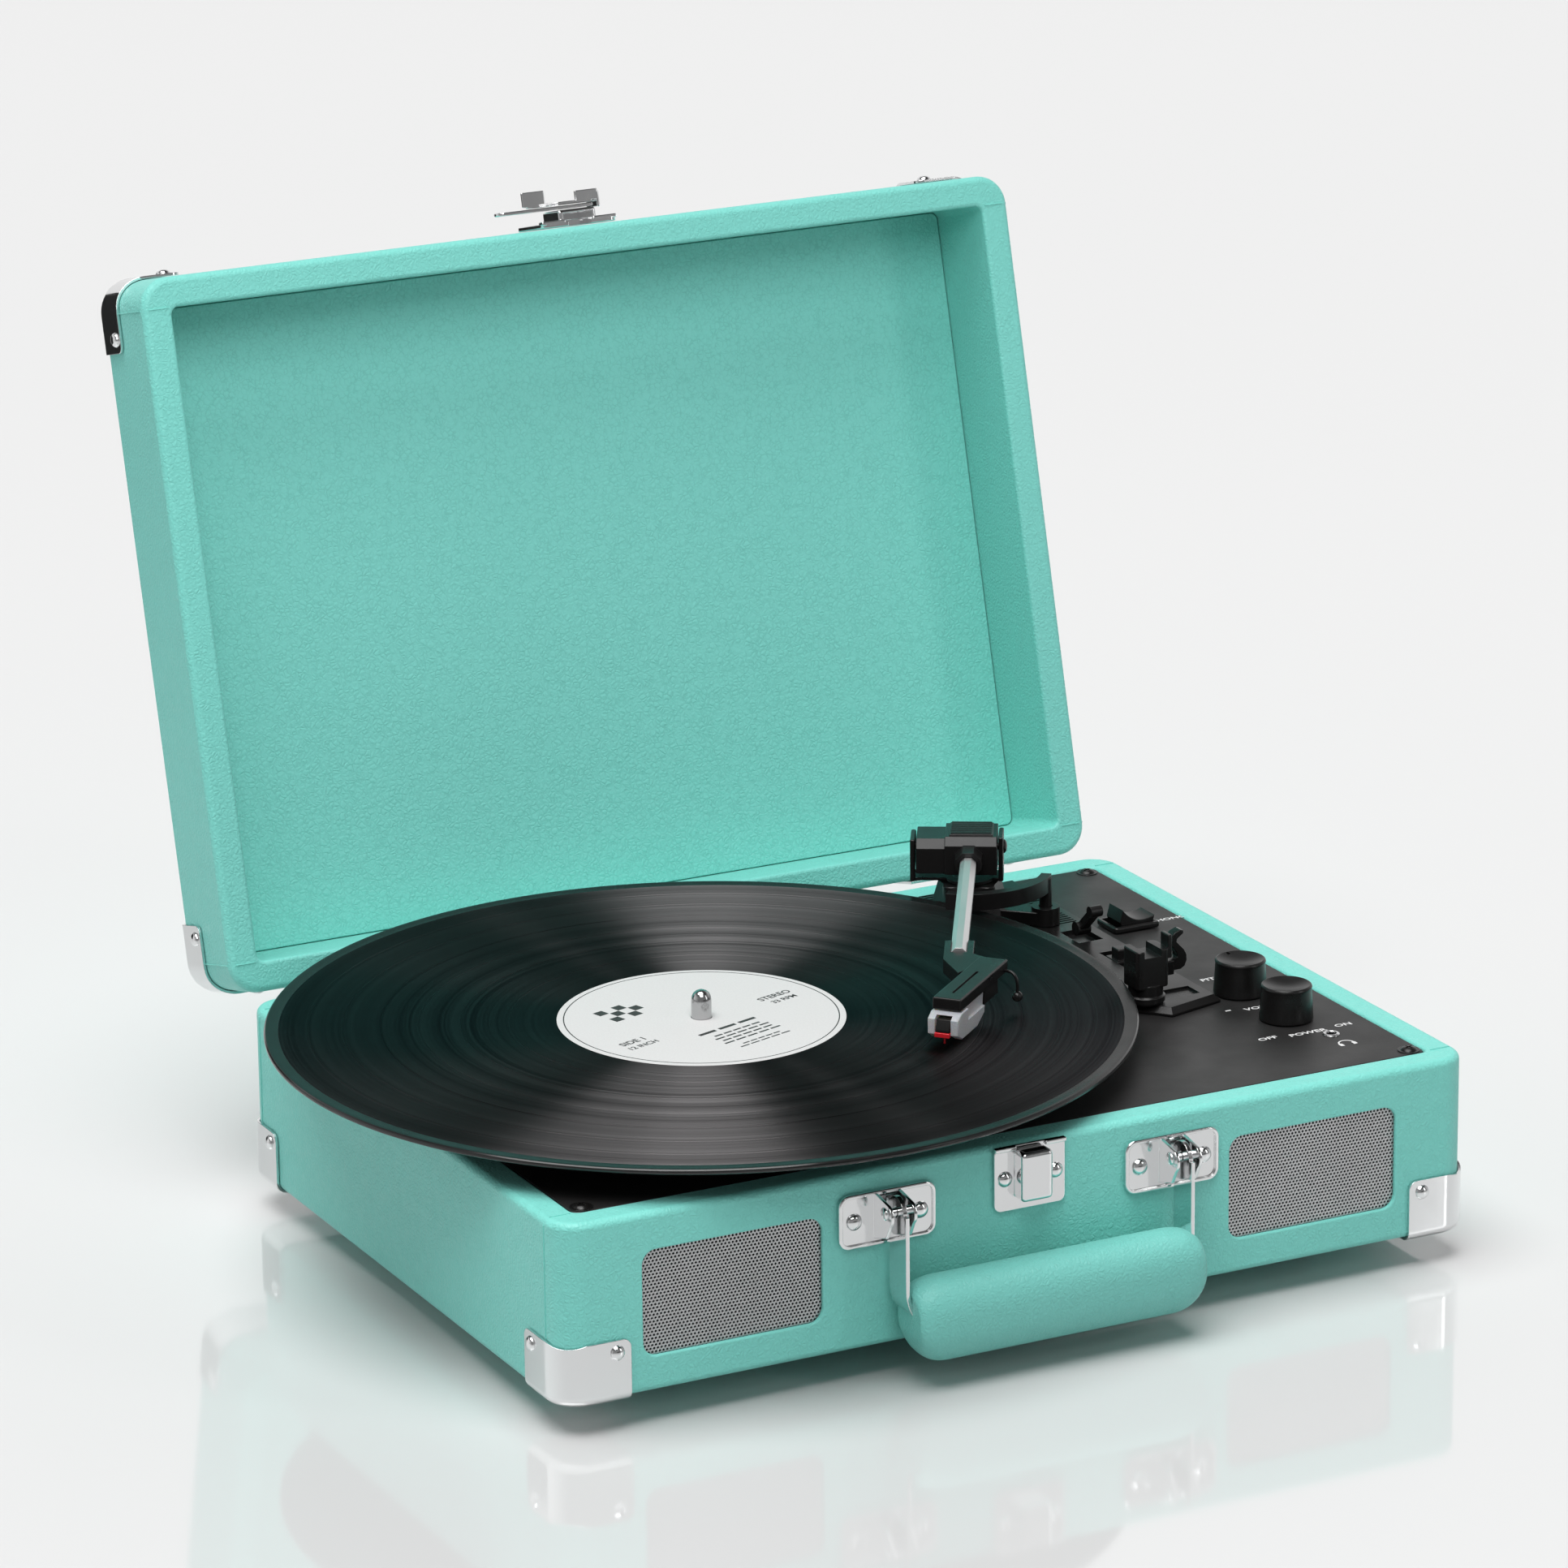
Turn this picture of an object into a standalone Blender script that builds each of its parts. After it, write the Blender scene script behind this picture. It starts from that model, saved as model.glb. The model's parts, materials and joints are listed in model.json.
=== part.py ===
"""Suitcase record player, modelled as the separate pieces it would come apart into on a bench.

Lengths are in millimetres here and become metres when a mesh is made. The origin is the middle of
the case's underside, +X runs to the right along the front, +Y to the back and +Z up. The lid's pieces
are drawn as they lie on the closed case, relative to the hinge axis, and turn open with that axis.
The tonearm's pieces are drawn along +X from the arm's pivot and turn with it.
"""
import math

import bmesh
import bpy
from mathutils import Matrix

MM = 0.001
GAP = 0.3

# Case
CASE_WIDTH = 348.0
CASE_DEPTH = 256.0
BASE_HEIGHT = 63.0
LID_HEIGHT = 40.0
WALL = 11.0
FLOOR = 6.0
LID_INSIDE_DEPTH = 37.8
CORNER_RADIUS = 11.0
EDGE_RADIUS = 2.0
LEDGE = 3.0
DECK_TOP = 62.6
DECK_THICKNESS = 3.0
FOOT_HEIGHT = 11.0
FOOT_RADIUS = 10.0
FOOT_PLACE = (125.0, 85.0)

# Lid hinge
HINGE_Y = 133.0
HINGE_Z = 57.6
LID_RIM = 5.7
LID_OPEN = 104.62
HINGE_X = 118.0
HINGE_WIDTH = 38.0

# Metal trim
TRIM = 1.0
BRACKET_REACH = 25.0
BRACKET_HEIGHT = 21.0
LID_BRACKET_HEIGHT = 17.5
RIVET_RADIUS = 2.8

# Loudspeakers
SPEAKER_X = 110.8
SPEAKER_Z = 31.0
GRILLE_SIZE = (66.0, 37.0)

# Turntable
PLATTER = (-57.0, 2.0)
PLATTER_RADIUS = 100.0
PLATTER_TOP = 72.8
RECORD_RADIUS = 150.8
RECORD_BOTTOM = 74.1
RECORD_TOP = 76.1
SPINDLE_RADIUS = 3.55
SPINDLE_TOP = 86.0
SPINDLE_BORE = 3.9
DRIVE_RING = 71.0
MOTOR_REACH = 88.0
MOTOR_BEARING = -40.0
PULLEY_RADIUS = 5.0
BELT = (65.9, 69.3)
BELT_THICKNESS = 0.8

# Tonearm
ARM_PIVOT = (91.0, 80.5)
ARM_BEARING = -120.4
ARM_HEIGHT = 90.0
LIFT_AXIS = (-2.0, 92.0)
TUBE_RADIUS = 3.1
SOCKET_RADIUS = 3.5
TUBE_START = 10.0
TUBE_END = 116.0
SHELL_REAR = (123.4, 12.4)
SHELL_TURN = -18.8
SHELL_LENGTH = 46.2
SHELL_WIDTH = 10.4
LIFT_RADIUS = 28.7
LIFT_POST = -45.0

# Controls
MODULE_TOP = 65.6
KNOB_X = 138.2
PITCH_Y = -32.5
VOLUME_Y = -64.0
KNOB_RADIUS = 9.6
ROCKER = (140.5, 51.0, 63.0)
ROCKER_TILT = 15.0
CUE = (116.0, 42.0, 68.6)
SLIDER = (116.5, 15.0)
JACK = (143.4, -85.6)
REST_POST = (100.0, -32.0)
CLIP_AXIS = (109.5, -28.2, 76.0)

# Handle
HANDLE_X = 54.3
HANDLE_AXIS = (-136.5, 50.0)
STRAP = 1.5
STRAP_WIDTH = 12.0
GRIP_AT = (-141.0, 12.0)
GRIP_HALF = (11.0, 14.5)
GRIP_ENDS = (-52.6, 56.8)
BAIL_BEND = 17.0

CASE_X = CASE_WIDTH / 2
CASE_Y = CASE_DEPTH / 2
LID_BACK = -(HINGE_Y - CASE_Y)
LID_FRONT = -(HINGE_Y + CASE_Y)
LID_TOP = LID_RIM + LID_HEIGHT

for left_over in list(bpy.data.objects):
    bpy.data.objects.remove(left_over, do_unlink=True)


def collection(name):
    made = bpy.data.collections.new(name)
    bpy.context.scene.collection.children.link(made)
    return made


PARTS = collection("suitcase_record_player")
CUTTERS = collection("cutters")
GUIDES = collection("joint_frames")


# Materials ----------------------------------------------------------------------------------------

LEATHERETTE = ((0.16, 0.60, 0.52), 0.55, 0.0)
LINING = ((0.15, 0.55, 0.48), 0.6, 0.0)
CHROME = ((0.86, 0.86, 0.88), 0.08, 1.0)
ALUMINIUM = ((0.72, 0.72, 0.74), 0.3, 1.0)
STEEL = ((0.6, 0.6, 0.62), 0.35, 1.0)
BLACK = ((0.012, 0.012, 0.013), 0.45, 0.0)
SATIN = ((0.02, 0.02, 0.022), 0.55, 0.0)
VINYL = ((0.01, 0.01, 0.011), 0.2, 0.0)
RUBBER = ((0.02, 0.02, 0.02), 0.8, 0.0)
FELT = ((0.03, 0.03, 0.03), 0.95, 0.0)
CLEAR_WHITE = ((0.75, 0.73, 0.74), 0.35, 0.0)
RED = ((0.55, 0.02, 0.03), 0.35, 0.0)
BOARD = ((0.03, 0.16, 0.07), 0.5, 0.0)


def material(name, look):
    colour, roughness, metallic = look
    made = bpy.data.materials.new(name)
    made.use_nodes = True
    shader = made.node_tree.nodes["Principled BSDF"]
    shader.inputs["Base Color"].default_value = (*colour, 1.0)
    shader.inputs["Roughness"].default_value = roughness
    shader.inputs["Metallic"].default_value = metallic
    made.diffuse_color = (*colour, 1.0)
    return made


# Frames that pieces are drawn in ------------------------------------------------------------------

def empty(name, location=(0, 0, 0), rotation=(0, 0, 0), parent=None):
    made = bpy.data.objects.new(name, None)
    GUIDES.objects.link(made)
    made.location = [MM * v for v in location]
    made.rotation_euler = [math.radians(v) for v in rotation]
    made.parent = parent
    return made


LID = empty("lid_axis", (0, HINGE_Y, HINGE_Z), (-LID_OPEN, 0, 0))
ARM = empty("arm_axis", (*ARM_PIVOT, 0), (0, 0, ARM_BEARING))
SHELL = empty("headshell_frame", (*SHELL_REAR, 0), (0, 0, SHELL_TURN), ARM)
FRONT = empty("front_face", (0, -CASE_Y, 0), (90, 0, 0))
REAR = empty("rear_face", (0, CASE_Y, 0), (90, 0, 180))
HASP = empty("hasp_frame", (0, LID_FRONT, LID_RIM), (90, 0, 0), LID)


# Shapes -------------------------------------------------------------------------------------------

def place(name, bm, look, frame=None, location=(0, 0, 0), rotation=(0, 0, 0)):
    """Turn a mesh drawn in millimetres into an object; a look of None makes it a cutter."""
    bmesh.ops.scale(bm, vec=(MM, MM, MM), verts=bm.verts)
    mesh = bpy.data.meshes.new(name)
    bm.to_mesh(mesh)
    bm.free()
    made = bpy.data.objects.new(name, mesh)
    made.location = [MM * v for v in location]
    made.rotation_euler = [math.radians(v) for v in rotation]
    made.parent = frame
    if look is None:
        CUTTERS.objects.link(made)
        made.hide_render = True
        made.display_type = "WIRE"
    else:
        PARTS.objects.link(made)
        mesh.materials.append(material(name, look))
    return made


def slab_mesh(low, high, corner=0.0, edge=0.0, corner_steps=4, edge_steps=2, bottom=True):
    """A box between two corners, its upright edges rounded by corner and the flat ones by edge."""
    bm = bmesh.new()
    bmesh.ops.create_cube(bm, size=1.0)
    size = [h - l for l, h in zip(low, high)]
    middle = [(h + l) / 2 for l, h in zip(low, high)]
    bmesh.ops.scale(bm, vec=size, verts=bm.verts)
    bmesh.ops.translate(bm, vec=middle, verts=bm.verts)
    if corner:
        upright = [e for e in bm.edges if abs(e.verts[0].co.z - e.verts[1].co.z) > size[2] / 2]
        bmesh.ops.bevel(bm, geom=upright, offset=corner, segments=corner_steps, profile=0.5,
                        affect="EDGES")
    if edge:
        rim = [e for e in bm.edges if len(e.link_faces) == 2 and e.calc_face_angle() > 1.0
               and abs(e.verts[0].co.z - e.verts[1].co.z) < size[2] / 4
               and (bottom or e.verts[0].co.z > middle[2])]
        bmesh.ops.bevel(bm, geom=rim, offset=edge, segments=edge_steps, profile=0.5, affect="EDGES")
    return bm


def slab(name, low, high, look=None, frame=None, corner=0.0, edge=0.0, location=(0, 0, 0),
         rotation=(0, 0, 0), **steps):
    return place(name, slab_mesh(low, high, corner, edge, **steps), look, frame, location, rotation)


def cylinder(name, at, radius, low, high, look=None, frame=None, sides=16, top_radius=None,
             rotation=(0, 0, 0), turn=0.0):
    """A cylinder or cone along its own Z from low to high, with its axis through at."""
    bm = bmesh.new()
    bmesh.ops.create_cone(bm, cap_ends=True, segments=sides, radius1=radius,
                          radius2=radius if top_radius is None else top_radius, depth=high - low)
    bmesh.ops.rotate(bm, matrix=Matrix.Rotation(math.radians(turn), 3, "Z"), verts=bm.verts)
    bmesh.ops.translate(bm, vec=(0, 0, (high + low) / 2), verts=bm.verts)
    return place(name, bm, look, frame, at, rotation)


def turned(name, profile, look=None, frame=None, steps=32, location=(0, 0, 0), rotation=(0, 0, 0)):
    """Turn a (radius, height) profile about Z; a profile that misses the axis is a closed ring."""
    bm = bmesh.new()
    points = [bm.verts.new((r, 0, h)) for r, h in profile]
    for a, b in zip(points, points[1:]):
        bm.edges.new((a, b))
    if profile[0][0] > 0:
        bm.edges.new((points[-1], points[0]))
    made = place(name, bm, look, frame, location, rotation)
    screw = made.modifiers.new("turn", "SCREW")
    screw.axis = "Z"
    screw.angle = 2 * math.pi
    screw.steps = steps
    screw.render_steps = steps
    screw.use_merge_vertices = True
    screw.merge_threshold = 0.00001
    return made


def prism_mesh(outline, low, high):
    """A flat outline in XY, raised from low to high."""
    bm = bmesh.new()
    face = bm.faces.new([bm.verts.new((x, y, low)) for x, y in outline])
    raised = bmesh.ops.extrude_face_region(bm, geom=[face])
    top = [v for v in raised["geom"] if isinstance(v, bmesh.types.BMVert)]
    bmesh.ops.translate(bm, vec=(0, 0, high - low), verts=top)
    bmesh.ops.recalc_face_normals(bm, faces=bm.faces)
    return bm


def prism(name, outline, low, high, look=None, frame=None, location=(0, 0, 0), rotation=(0, 0, 0)):
    return place(name, prism_mesh(outline, low, high), look, frame, location, rotation)


def arc(centre, radius, start, end, steps):
    """Points along an arc, the angles in degrees."""
    angles = [math.radians(start + (end - start) * i / steps) for i in range(steps + 1)]
    return [(centre[0] + radius * math.cos(t), centre[1] + radius * math.sin(t)) for t in angles]


def dome(name, at, frame=None, flat=0.6, radius=RIVET_RADIUS, rotation=(0, 0, 0)):
    """A rivet head standing out along its own Z."""
    bm = bmesh.new()
    bmesh.ops.create_uvsphere(bm, u_segments=10, v_segments=6, radius=radius)
    bmesh.ops.scale(bm, vec=(1, 1, flat), verts=bm.verts)
    bmesh.ops.bisect_plane(bm, geom=bm.verts[:] + bm.edges[:] + bm.faces[:], plane_co=(0, 0, -0.6),
                           plane_no=(0, 0, 1), clear_inner=True)
    bmesh.ops.holes_fill(bm, edges=bm.edges)
    return place(name, bm, None, frame, at, rotation)


def combine(target, other, how):
    boolean = target.modifiers.new(other.name, "BOOLEAN")
    boolean.operation = how
    boolean.solver = "EXACT"
    boolean.object = other


def cut(target, *cutters):
    for cutter in cutters:
        combine(target, cutter, "DIFFERENCE")


def fuse(target, *pieces):
    for piece in pieces:
        combine(target, piece, "UNION")


def both_sides(function):
    """Call a function for the left and the right side."""
    for side, sign in (("left", -1), ("right", 1)):
        function(side, sign)


# Case ---------------------------------------------------------------------------------------------

def base_case():
    case = slab("base_case", (-CASE_X, -CASE_Y, 0), (CASE_X, CASE_Y, BASE_HEIGHT), LEATHERETTE,
                corner=CORNER_RADIUS, edge=EDGE_RADIUS, corner_steps=6)
    inside_x = CASE_X - WALL
    inside_y = CASE_Y - WALL
    ledge_top = DECK_TOP - DECK_THICKNESS - GAP
    above = BASE_HEIGHT + 1
    cut(case,
        slab("case_recess", (-inside_x, -inside_y, ledge_top), (inside_x, inside_y, above), corner=3),
        slab("case_hollow", (LEDGE - inside_x, LEDGE - inside_y, FLOOR),
             (inside_x - LEDGE, inside_y - LEDGE, above), corner=3))
    half_x, half_z = GRILLE_SIZE[0] / 2, GRILLE_SIZE[1] / 2

    def window(side, sign):
        x = sign * SPEAKER_X
        cut(case, slab("window_" + side, (x - half_x, SPEAKER_Z - half_z, -20),
                       (x + half_x, SPEAKER_Z + half_z, 5), frame=FRONT, corner=5))
    both_sides(window)
    cut(case, slab("rear_window", (30, 14, -20), (110, 46, 5), frame=REAR, corner=3))
    sheet_x, sheet_y, seam = 108.0, 68.0, 0.5  # the covering sheet let into the underside
    for sign in (-1, 1):
        x, y = sign * sheet_x, sign * sheet_y
        cut(case,
            slab("side_seam", (x - seam, -sheet_y - seam, -1), (x + seam, sheet_y + seam, 0.6)),
            slab("end_seam", (-sheet_x, y - seam, -1), (sheet_x, y + seam, 0.6)))


def deck_panel():
    half_x = CASE_X - WALL - GAP
    half_y = CASE_Y - WALL - GAP
    low, high = DECK_TOP - DECK_THICKNESS, DECK_TOP
    panel = slab("deck_panel", (-half_x, -half_y, low), (half_x, half_y, high), SATIN, corner=2.7)
    motor = motor_place()
    holes = ((PLATTER, 14.0), (motor, 7.5), ((KNOB_X, PITCH_Y), 3.6), ((KNOB_X, VOLUME_Y), 3.6),
             (JACK, 4.2))
    for number, (at, radius) in enumerate(holes):
        cut(panel, cylinder("deck_hole_%d" % number, (*at, 0), radius, low - 1, high + 1))
    x, y, _ = ROCKER
    cut(panel, slab("rocker_hole", (x - 8.3, y - 5.9, low - 1), (x + 8.3, y + 5.9, high + 1)))


def feet():
    for end, sign_y in (("front", -1), ("rear", 1)):
        for side, sign_x in (("left", -1), ("right", 1)):
            turned("foot_%s_%s" % (end, side),
                   [(0, -GAP), (FOOT_RADIUS, -GAP), (FOOT_RADIUS - 1, 1 - FOOT_HEIGHT),
                    (FOOT_RADIUS - 2, -FOOT_HEIGHT), (0, -FOOT_HEIGHT)],
                   RUBBER, steps=20, location=(sign_x * FOOT_PLACE[0], sign_y * FOOT_PLACE[1], 0))


def corner_brackets(prefix, frame, middle_y, base_z, up, height):
    """Four scalloped metal corners, each a thin shell around one corner of a case half."""
    low_z, high_z = sorted((base_z, base_z + up * 60.0))
    offset = GAP + TRIM
    skins = []
    for label, skin in (("outer", offset), ("inner", GAP)):
        skins.append(slab("%s_%s_skin" % (prefix, label),
                          (-CASE_X - skin, middle_y - CASE_Y - skin, low_z - skin),
                          (CASE_X + skin, middle_y + CASE_Y + skin, high_z + skin),
                          frame=frame, corner=CORNER_RADIUS + skin, edge=EDGE_RADIUS + skin,
                          corner_steps=4))
    for end, sign_y in (("front", -1), ("rear", 1)):
        for side, sign_x in (("left", -1), ("right", 1)):
            name = "%s_bracket_%s_%s" % (prefix, end, side)
            corner = (sign_x * CASE_X, middle_y + sign_y * CASE_Y)
            ends_x = sorted((corner[0] - sign_x * BRACKET_REACH, corner[0] + sign_x * 5))
            ends_y = sorted((corner[1] - sign_y * BRACKET_REACH, corner[1] + sign_y * 5))
            ends_z = sorted((base_z - up * 5, base_z + up * height))
            piece = slab(name, (ends_x[0], ends_y[0], ends_z[0]), (ends_x[1], ends_y[1], ends_z[1]),
                         CHROME, frame)
            combine(piece, skins[0], "INTERSECT")
            scallop = cylinder(name + "_scallop", (*corner, base_z + up * (height + 17.5)), 22, -40, 40,
                               frame=frame, sides=40,
                               rotation=(90, 0, -sign_x * sign_y * 45))
            cut(piece, skins[1], scallop)
            rivet_z = base_z + up * (height - 4.2)
            fuse(piece,
                 dome(name + "_rivet_x", (corner[0] - sign_x * 20, corner[1] + sign_y * offset, rivet_z),
                      frame, radius=2.4, rotation=(-sign_y * 90, 0, 0)),
                 dome(name + "_rivet_y", (corner[0] + sign_x * offset, corner[1] - sign_y * 20, rivet_z),
                      frame, radius=2.4, rotation=(0, sign_x * 90, 0)))


# Lid ----------------------------------------------------------------------------------------------

def lid():
    shell = slab("lid_shell", (-CASE_X, LID_FRONT, LID_RIM), (CASE_X, LID_BACK, LID_TOP), LEATHERETTE,
                 LID, corner=CORNER_RADIUS, edge=EDGE_RADIUS, corner_steps=6)
    inside_x = CASE_X - WALL
    hollow_top = LID_RIM + LID_INSIDE_DEPTH
    cut(shell, slab("lid_hollow", (-inside_x, LID_FRONT + WALL, LID_RIM - 1),
                    (inside_x, LID_BACK - WALL, hollow_top), frame=LID, corner=3))
    slab("lid_liner", (GAP - inside_x, LID_FRONT + WALL + GAP, hollow_top - GAP - 1),
         (inside_x - GAP, LID_BACK - WALL - GAP, hollow_top - GAP), LINING, LID, corner=2.7)
    corner_brackets("lid", LID, (LID_FRONT + LID_BACK) / 2, LID_TOP, -1, LID_BRACKET_HEIGHT)


def hinges():
    """A leaf on the case with the pin and the outer knuckles, and a leaf on the lid between them."""
    knuckle = 2.6
    third = HINGE_WIDTH / 3
    leaf_y = CASE_Y + GAP

    def hinge(side, sign):
        left = sign * HINGE_X - HINGE_WIDTH / 2
        right = left + HINGE_WIDTH
        leaf = slab("hinge_case_leaf_" + side, (left, leaf_y, 30), (right, leaf_y + TRIM, 60), CHROME)
        along_x = (0, 90, 0)
        for number, start in enumerate((left, left + 2 * third)):
            label = "%s_%d" % (side, number)
            fuse(leaf,
                 slab("case_arm_" + label, (start, leaf_y + 0.2, HINGE_Z - 2),
                      (start + third - GAP, HINGE_Y, HINGE_Z)),
                 cylinder("case_knuckle_" + label, (start, HINGE_Y, HINGE_Z), knuckle, 0, third - GAP,
                          sides=16, rotation=along_x))
        fuse(leaf, cylinder("hinge_pin_" + side, (left + 1, HINGE_Y, HINGE_Z), 1.1, 0,
                            HINGE_WIDTH - 2, sides=12, rotation=along_x))
        lid_y = LID_BACK + GAP
        middle = left + third + GAP
        lid_leaf = slab("hinge_lid_leaf_" + side, (left, lid_y, LID_RIM + 1), (right, lid_y + TRIM, 34),
                        CHROME, LID)
        fuse(lid_leaf,
             slab("lid_arm_" + side, (middle, lid_y + 0.2, 0), (middle + third - 3 * GAP, 0, LID_RIM + 3),
                  frame=LID),
             cylinder("lid_knuckle_" + side, (middle, 0, 0), knuckle, 0, third - 3 * GAP, frame=LID,
                      sides=16, rotation=along_x))
        cut(lid_leaf, cylinder("lid_leaf_bore_" + side, (left - 1, 0, 0), 1.5, 0, HINGE_WIDTH + 2,
                               frame=LID, sides=12, rotation=along_x))
    both_sides(hinge)


# Catch on the lid and its striker on the case -----------------------------------------------------

def catch():
    """Drawn in the plane of the lid's front: X along it, Y away from the rim, Z outwards."""
    plate = slab("latch_plate", (-15, 3, GAP), (15, 27, 2.1), CHROME, HASP, corner=2.5)
    cut(plate, slab("latch_notch", (-4.5, 0, -1), (4.5, 8, 4), frame=HASP))
    fuse(plate, slab("latch_housing", (-7, 5.5, 1.5), (8, 20, 6.4), frame=HASP, edge=0.8, bottom=False),
         slab("latch_foot_left", (-15, 3.05, 1.5), (-5.5, 6.5, 2.9), frame=HASP),
         slab("latch_foot_right", (5.5, 3.05, 1.5), (14.9, 6.5, 2.9), frame=HASP))
    arm = [(-29.5, 8.0), (-27.5, 7.6), (-20, 7.0), (-10, 6.5), (7.5, 6.5), (7.5, 19.5), (-10, 19.5),
           (-14, 14.5), (-27.5, 13.6), (-29.5, 12.6)]
    lever = prism("latch_lever", arm, 6.7, 8.0, CHROME, HASP)
    cut(lever, slab("lever_hole", (-19.5, 9.2, 5), (-16.5, 12.2, 10), frame=HASP))
    hasp = slab("latch_hasp", (-12.5, 20.3, 8.3), (13, 21.5, 9.6), CHROME, HASP)
    fuse(hasp,
         slab("hasp_tab", (-14, 20.3, 8.9), (-5, 21.5, 14.4), frame=HASP),
         slab("hasp_bar", (-4, 12, 8.3), (10, 21, 9.5), frame=HASP),
         slab("hasp_hook", (3.5, 12.02, 8.9), (12.5, 13.2, 12.9), frame=HASP),
         slab("hasp_side", (11.8, 12.01, 6.2), (13, 21.49, 12.0), frame=HASP))


def striker():
    """Drawn in the plane of the case's front: X along it, Y up and Z outwards."""
    plate = slab("latch_striker", (-14, 39.4, GAP), (13, 62.4, GAP + 1.2), CHROME, FRONT, corner=2.5)
    fuse(plate,
         slab("striker_box", (-6.5, 43.5, 1.0), (5.5, 61.0, 7.4), frame=FRONT, edge=1.6, bottom=False),
         dome("striker_rivet_left", (-9.9, 51, GAP + 1.2), FRONT),
         dome("striker_rivet_right", (9.2, 51, GAP + 1.2), FRONT))
    cut(plate, slab("striker_throat", (-5.0, 50.0, 2.5), (4.0, 65.0, 6.0), frame=FRONT))


# Handle -------------------------------------------------------------------------------------------

def handle_plates():
    axis_y, axis_z = HANDLE_AXIS
    reach = -CASE_Y - axis_y

    def plate(side, sign):
        x = sign * HANDLE_X
        piece = slab("handle_plate_" + side, (x - 18.2, 36.6, GAP), (x + 18.2, 55.8, GAP + 1.1), CHROME,
                     FRONT, corner=3.5)
        ear = [(GAP + 0.6, 40.5), (reach + 2.0, 42.5)]
        ear += arc((reach + 1.0, axis_z - 0.5), 4.0, -40, 60, 4)
        ear += [(GAP + 0.6, 54.5)]
        for label, start in (("left", -3.7), ("right", 4.9)):
            fuse(piece, prism("ear_%s_%s" % (side, label), ear, 0, 1.2,
                              location=(x + start, -CASE_Y, 0), rotation=(90, 0, -90)))
        fuse(piece,
             cylinder("handle_pin_" + side, (x - 4.5, axis_y, axis_z), 1.5, 0, 9, sides=16,
                      rotation=(0, 90, 0)),
             dome("rivet_%s_outer" % side, (x - 12.4, 46, GAP + 1.1), FRONT),
             dome("rivet_%s_inner" % side, (x + 12.4, 46, GAP + 1.1), FRONT))
    both_sides(plate)


def bail_outline(outer, top, bottom, bend):
    """Half a U from its foot in the middle to its top, in X and Z; the bend is the corner's radius."""
    corner = (outer - bend, bottom + bend)
    return [(0, bottom)] + arc(corner, bend, -90, 0, 6) + [(outer, top)]


def strap_solid(name, inset, width, look=None):
    """The bail's bent strap; a negative inset makes it fatter, as the tunnel through the grip is."""
    axis_y, axis_z = HANDLE_AXIS
    outer = HANDLE_X + STRAP / 2 - inset
    inner = HANDLE_X - STRAP / 2 + inset
    bottom = GRIP_AT[1] - 5
    out_half = bail_outline(outer, axis_z, bottom + inset, BAIL_BEND)
    in_half = bail_outline(inner, axis_z, bottom + STRAP - inset, BAIL_BEND - STRAP + 2 * inset)
    ring = out_half[1:] + [(x, z) for x, z in reversed(in_half[1:])]
    ring += [(-x, z) for x, z in in_half[1:]] + [(-x, z) for x, z in reversed(out_half[1:])]
    return prism(name, ring, -width / 2, width / 2, look, location=(0, axis_y - 1.2, 0),
                 rotation=(90, 0, 0))


def handle():
    axis_y, axis_z = HANDLE_AXIS
    bail = strap_solid("handle_bail", 0.0, STRAP_WIDTH, CHROME)

    def eye(side, sign):
        x = sign * HANDLE_X - STRAP / 2
        fuse(bail, cylinder("bail_eye_" + side, (x, axis_y, axis_z), 5.6, 0, STRAP, sides=24,
                            rotation=(0, 90, 0)))
        cut(bail, cylinder("bail_bore_" + side, (x - 1, axis_y, axis_z), 1.9, 0, STRAP + 2, sides=16,
                           rotation=(0, 90, 0)))
    both_sides(eye)
    bm = bmesh.new()
    bmesh.ops.create_cone(bm, cap_ends=True, segments=20, radius1=1, radius2=1,
                          depth=GRIP_ENDS[1] - GRIP_ENDS[0])
    bmesh.ops.bisect_plane(bm, geom=bm.verts[:] + bm.edges[:] + bm.faces[:], plane_co=(0, 0, 0),
                           plane_no=(0, 0, 1))
    ends = [e for e in bm.edges if len(e.link_faces) == 2 and e.calc_face_angle() > 1.0]
    bmesh.ops.scale(bm, vec=(GRIP_HALF[1], GRIP_HALF[0], 1), verts=bm.verts)
    bmesh.ops.bevel(bm, geom=ends, offset=7.0, segments=3, profile=0.5, affect="EDGES")
    middle = (GRIP_ENDS[0] + GRIP_ENDS[1]) / 2
    grip = place("handle_grip", bm, LEATHERETTE, None, (middle, *GRIP_AT), (0, 90, 0))
    cut(grip, strap_solid("grip_tunnel", -GAP, STRAP_WIDTH + 2 * GAP))


# Loudspeakers and electronics ---------------------------------------------------------------------

def speakers():
    half_x, half_z = GRILLE_SIZE[0] / 2 - GAP, GRILLE_SIZE[1] / 2 - GAP

    def speaker(side, sign):
        x = sign * SPEAKER_X
        slab("speaker_grille_" + side, (x - half_x, SPEAKER_Z - half_z, -1.8),
             (x + half_x, SPEAKER_Z + half_z, -0.8), ALUMINIUM, FRONT, corner=4.7)
        turned("speaker_driver_" + side,
               [(0, -6), (5, -8), (6, -10), (20.5, -1.5), (21.5, 0), (24, 0), (24, -2), (20, -3),
                (14, -12.5), (15.5, -13), (15.5, -24), (0, -24)],
               BLACK, FRONT, steps=18, location=(x, SPEAKER_Z, -WALL - LEDGE - GAP))
    both_sides(speaker)


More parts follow.
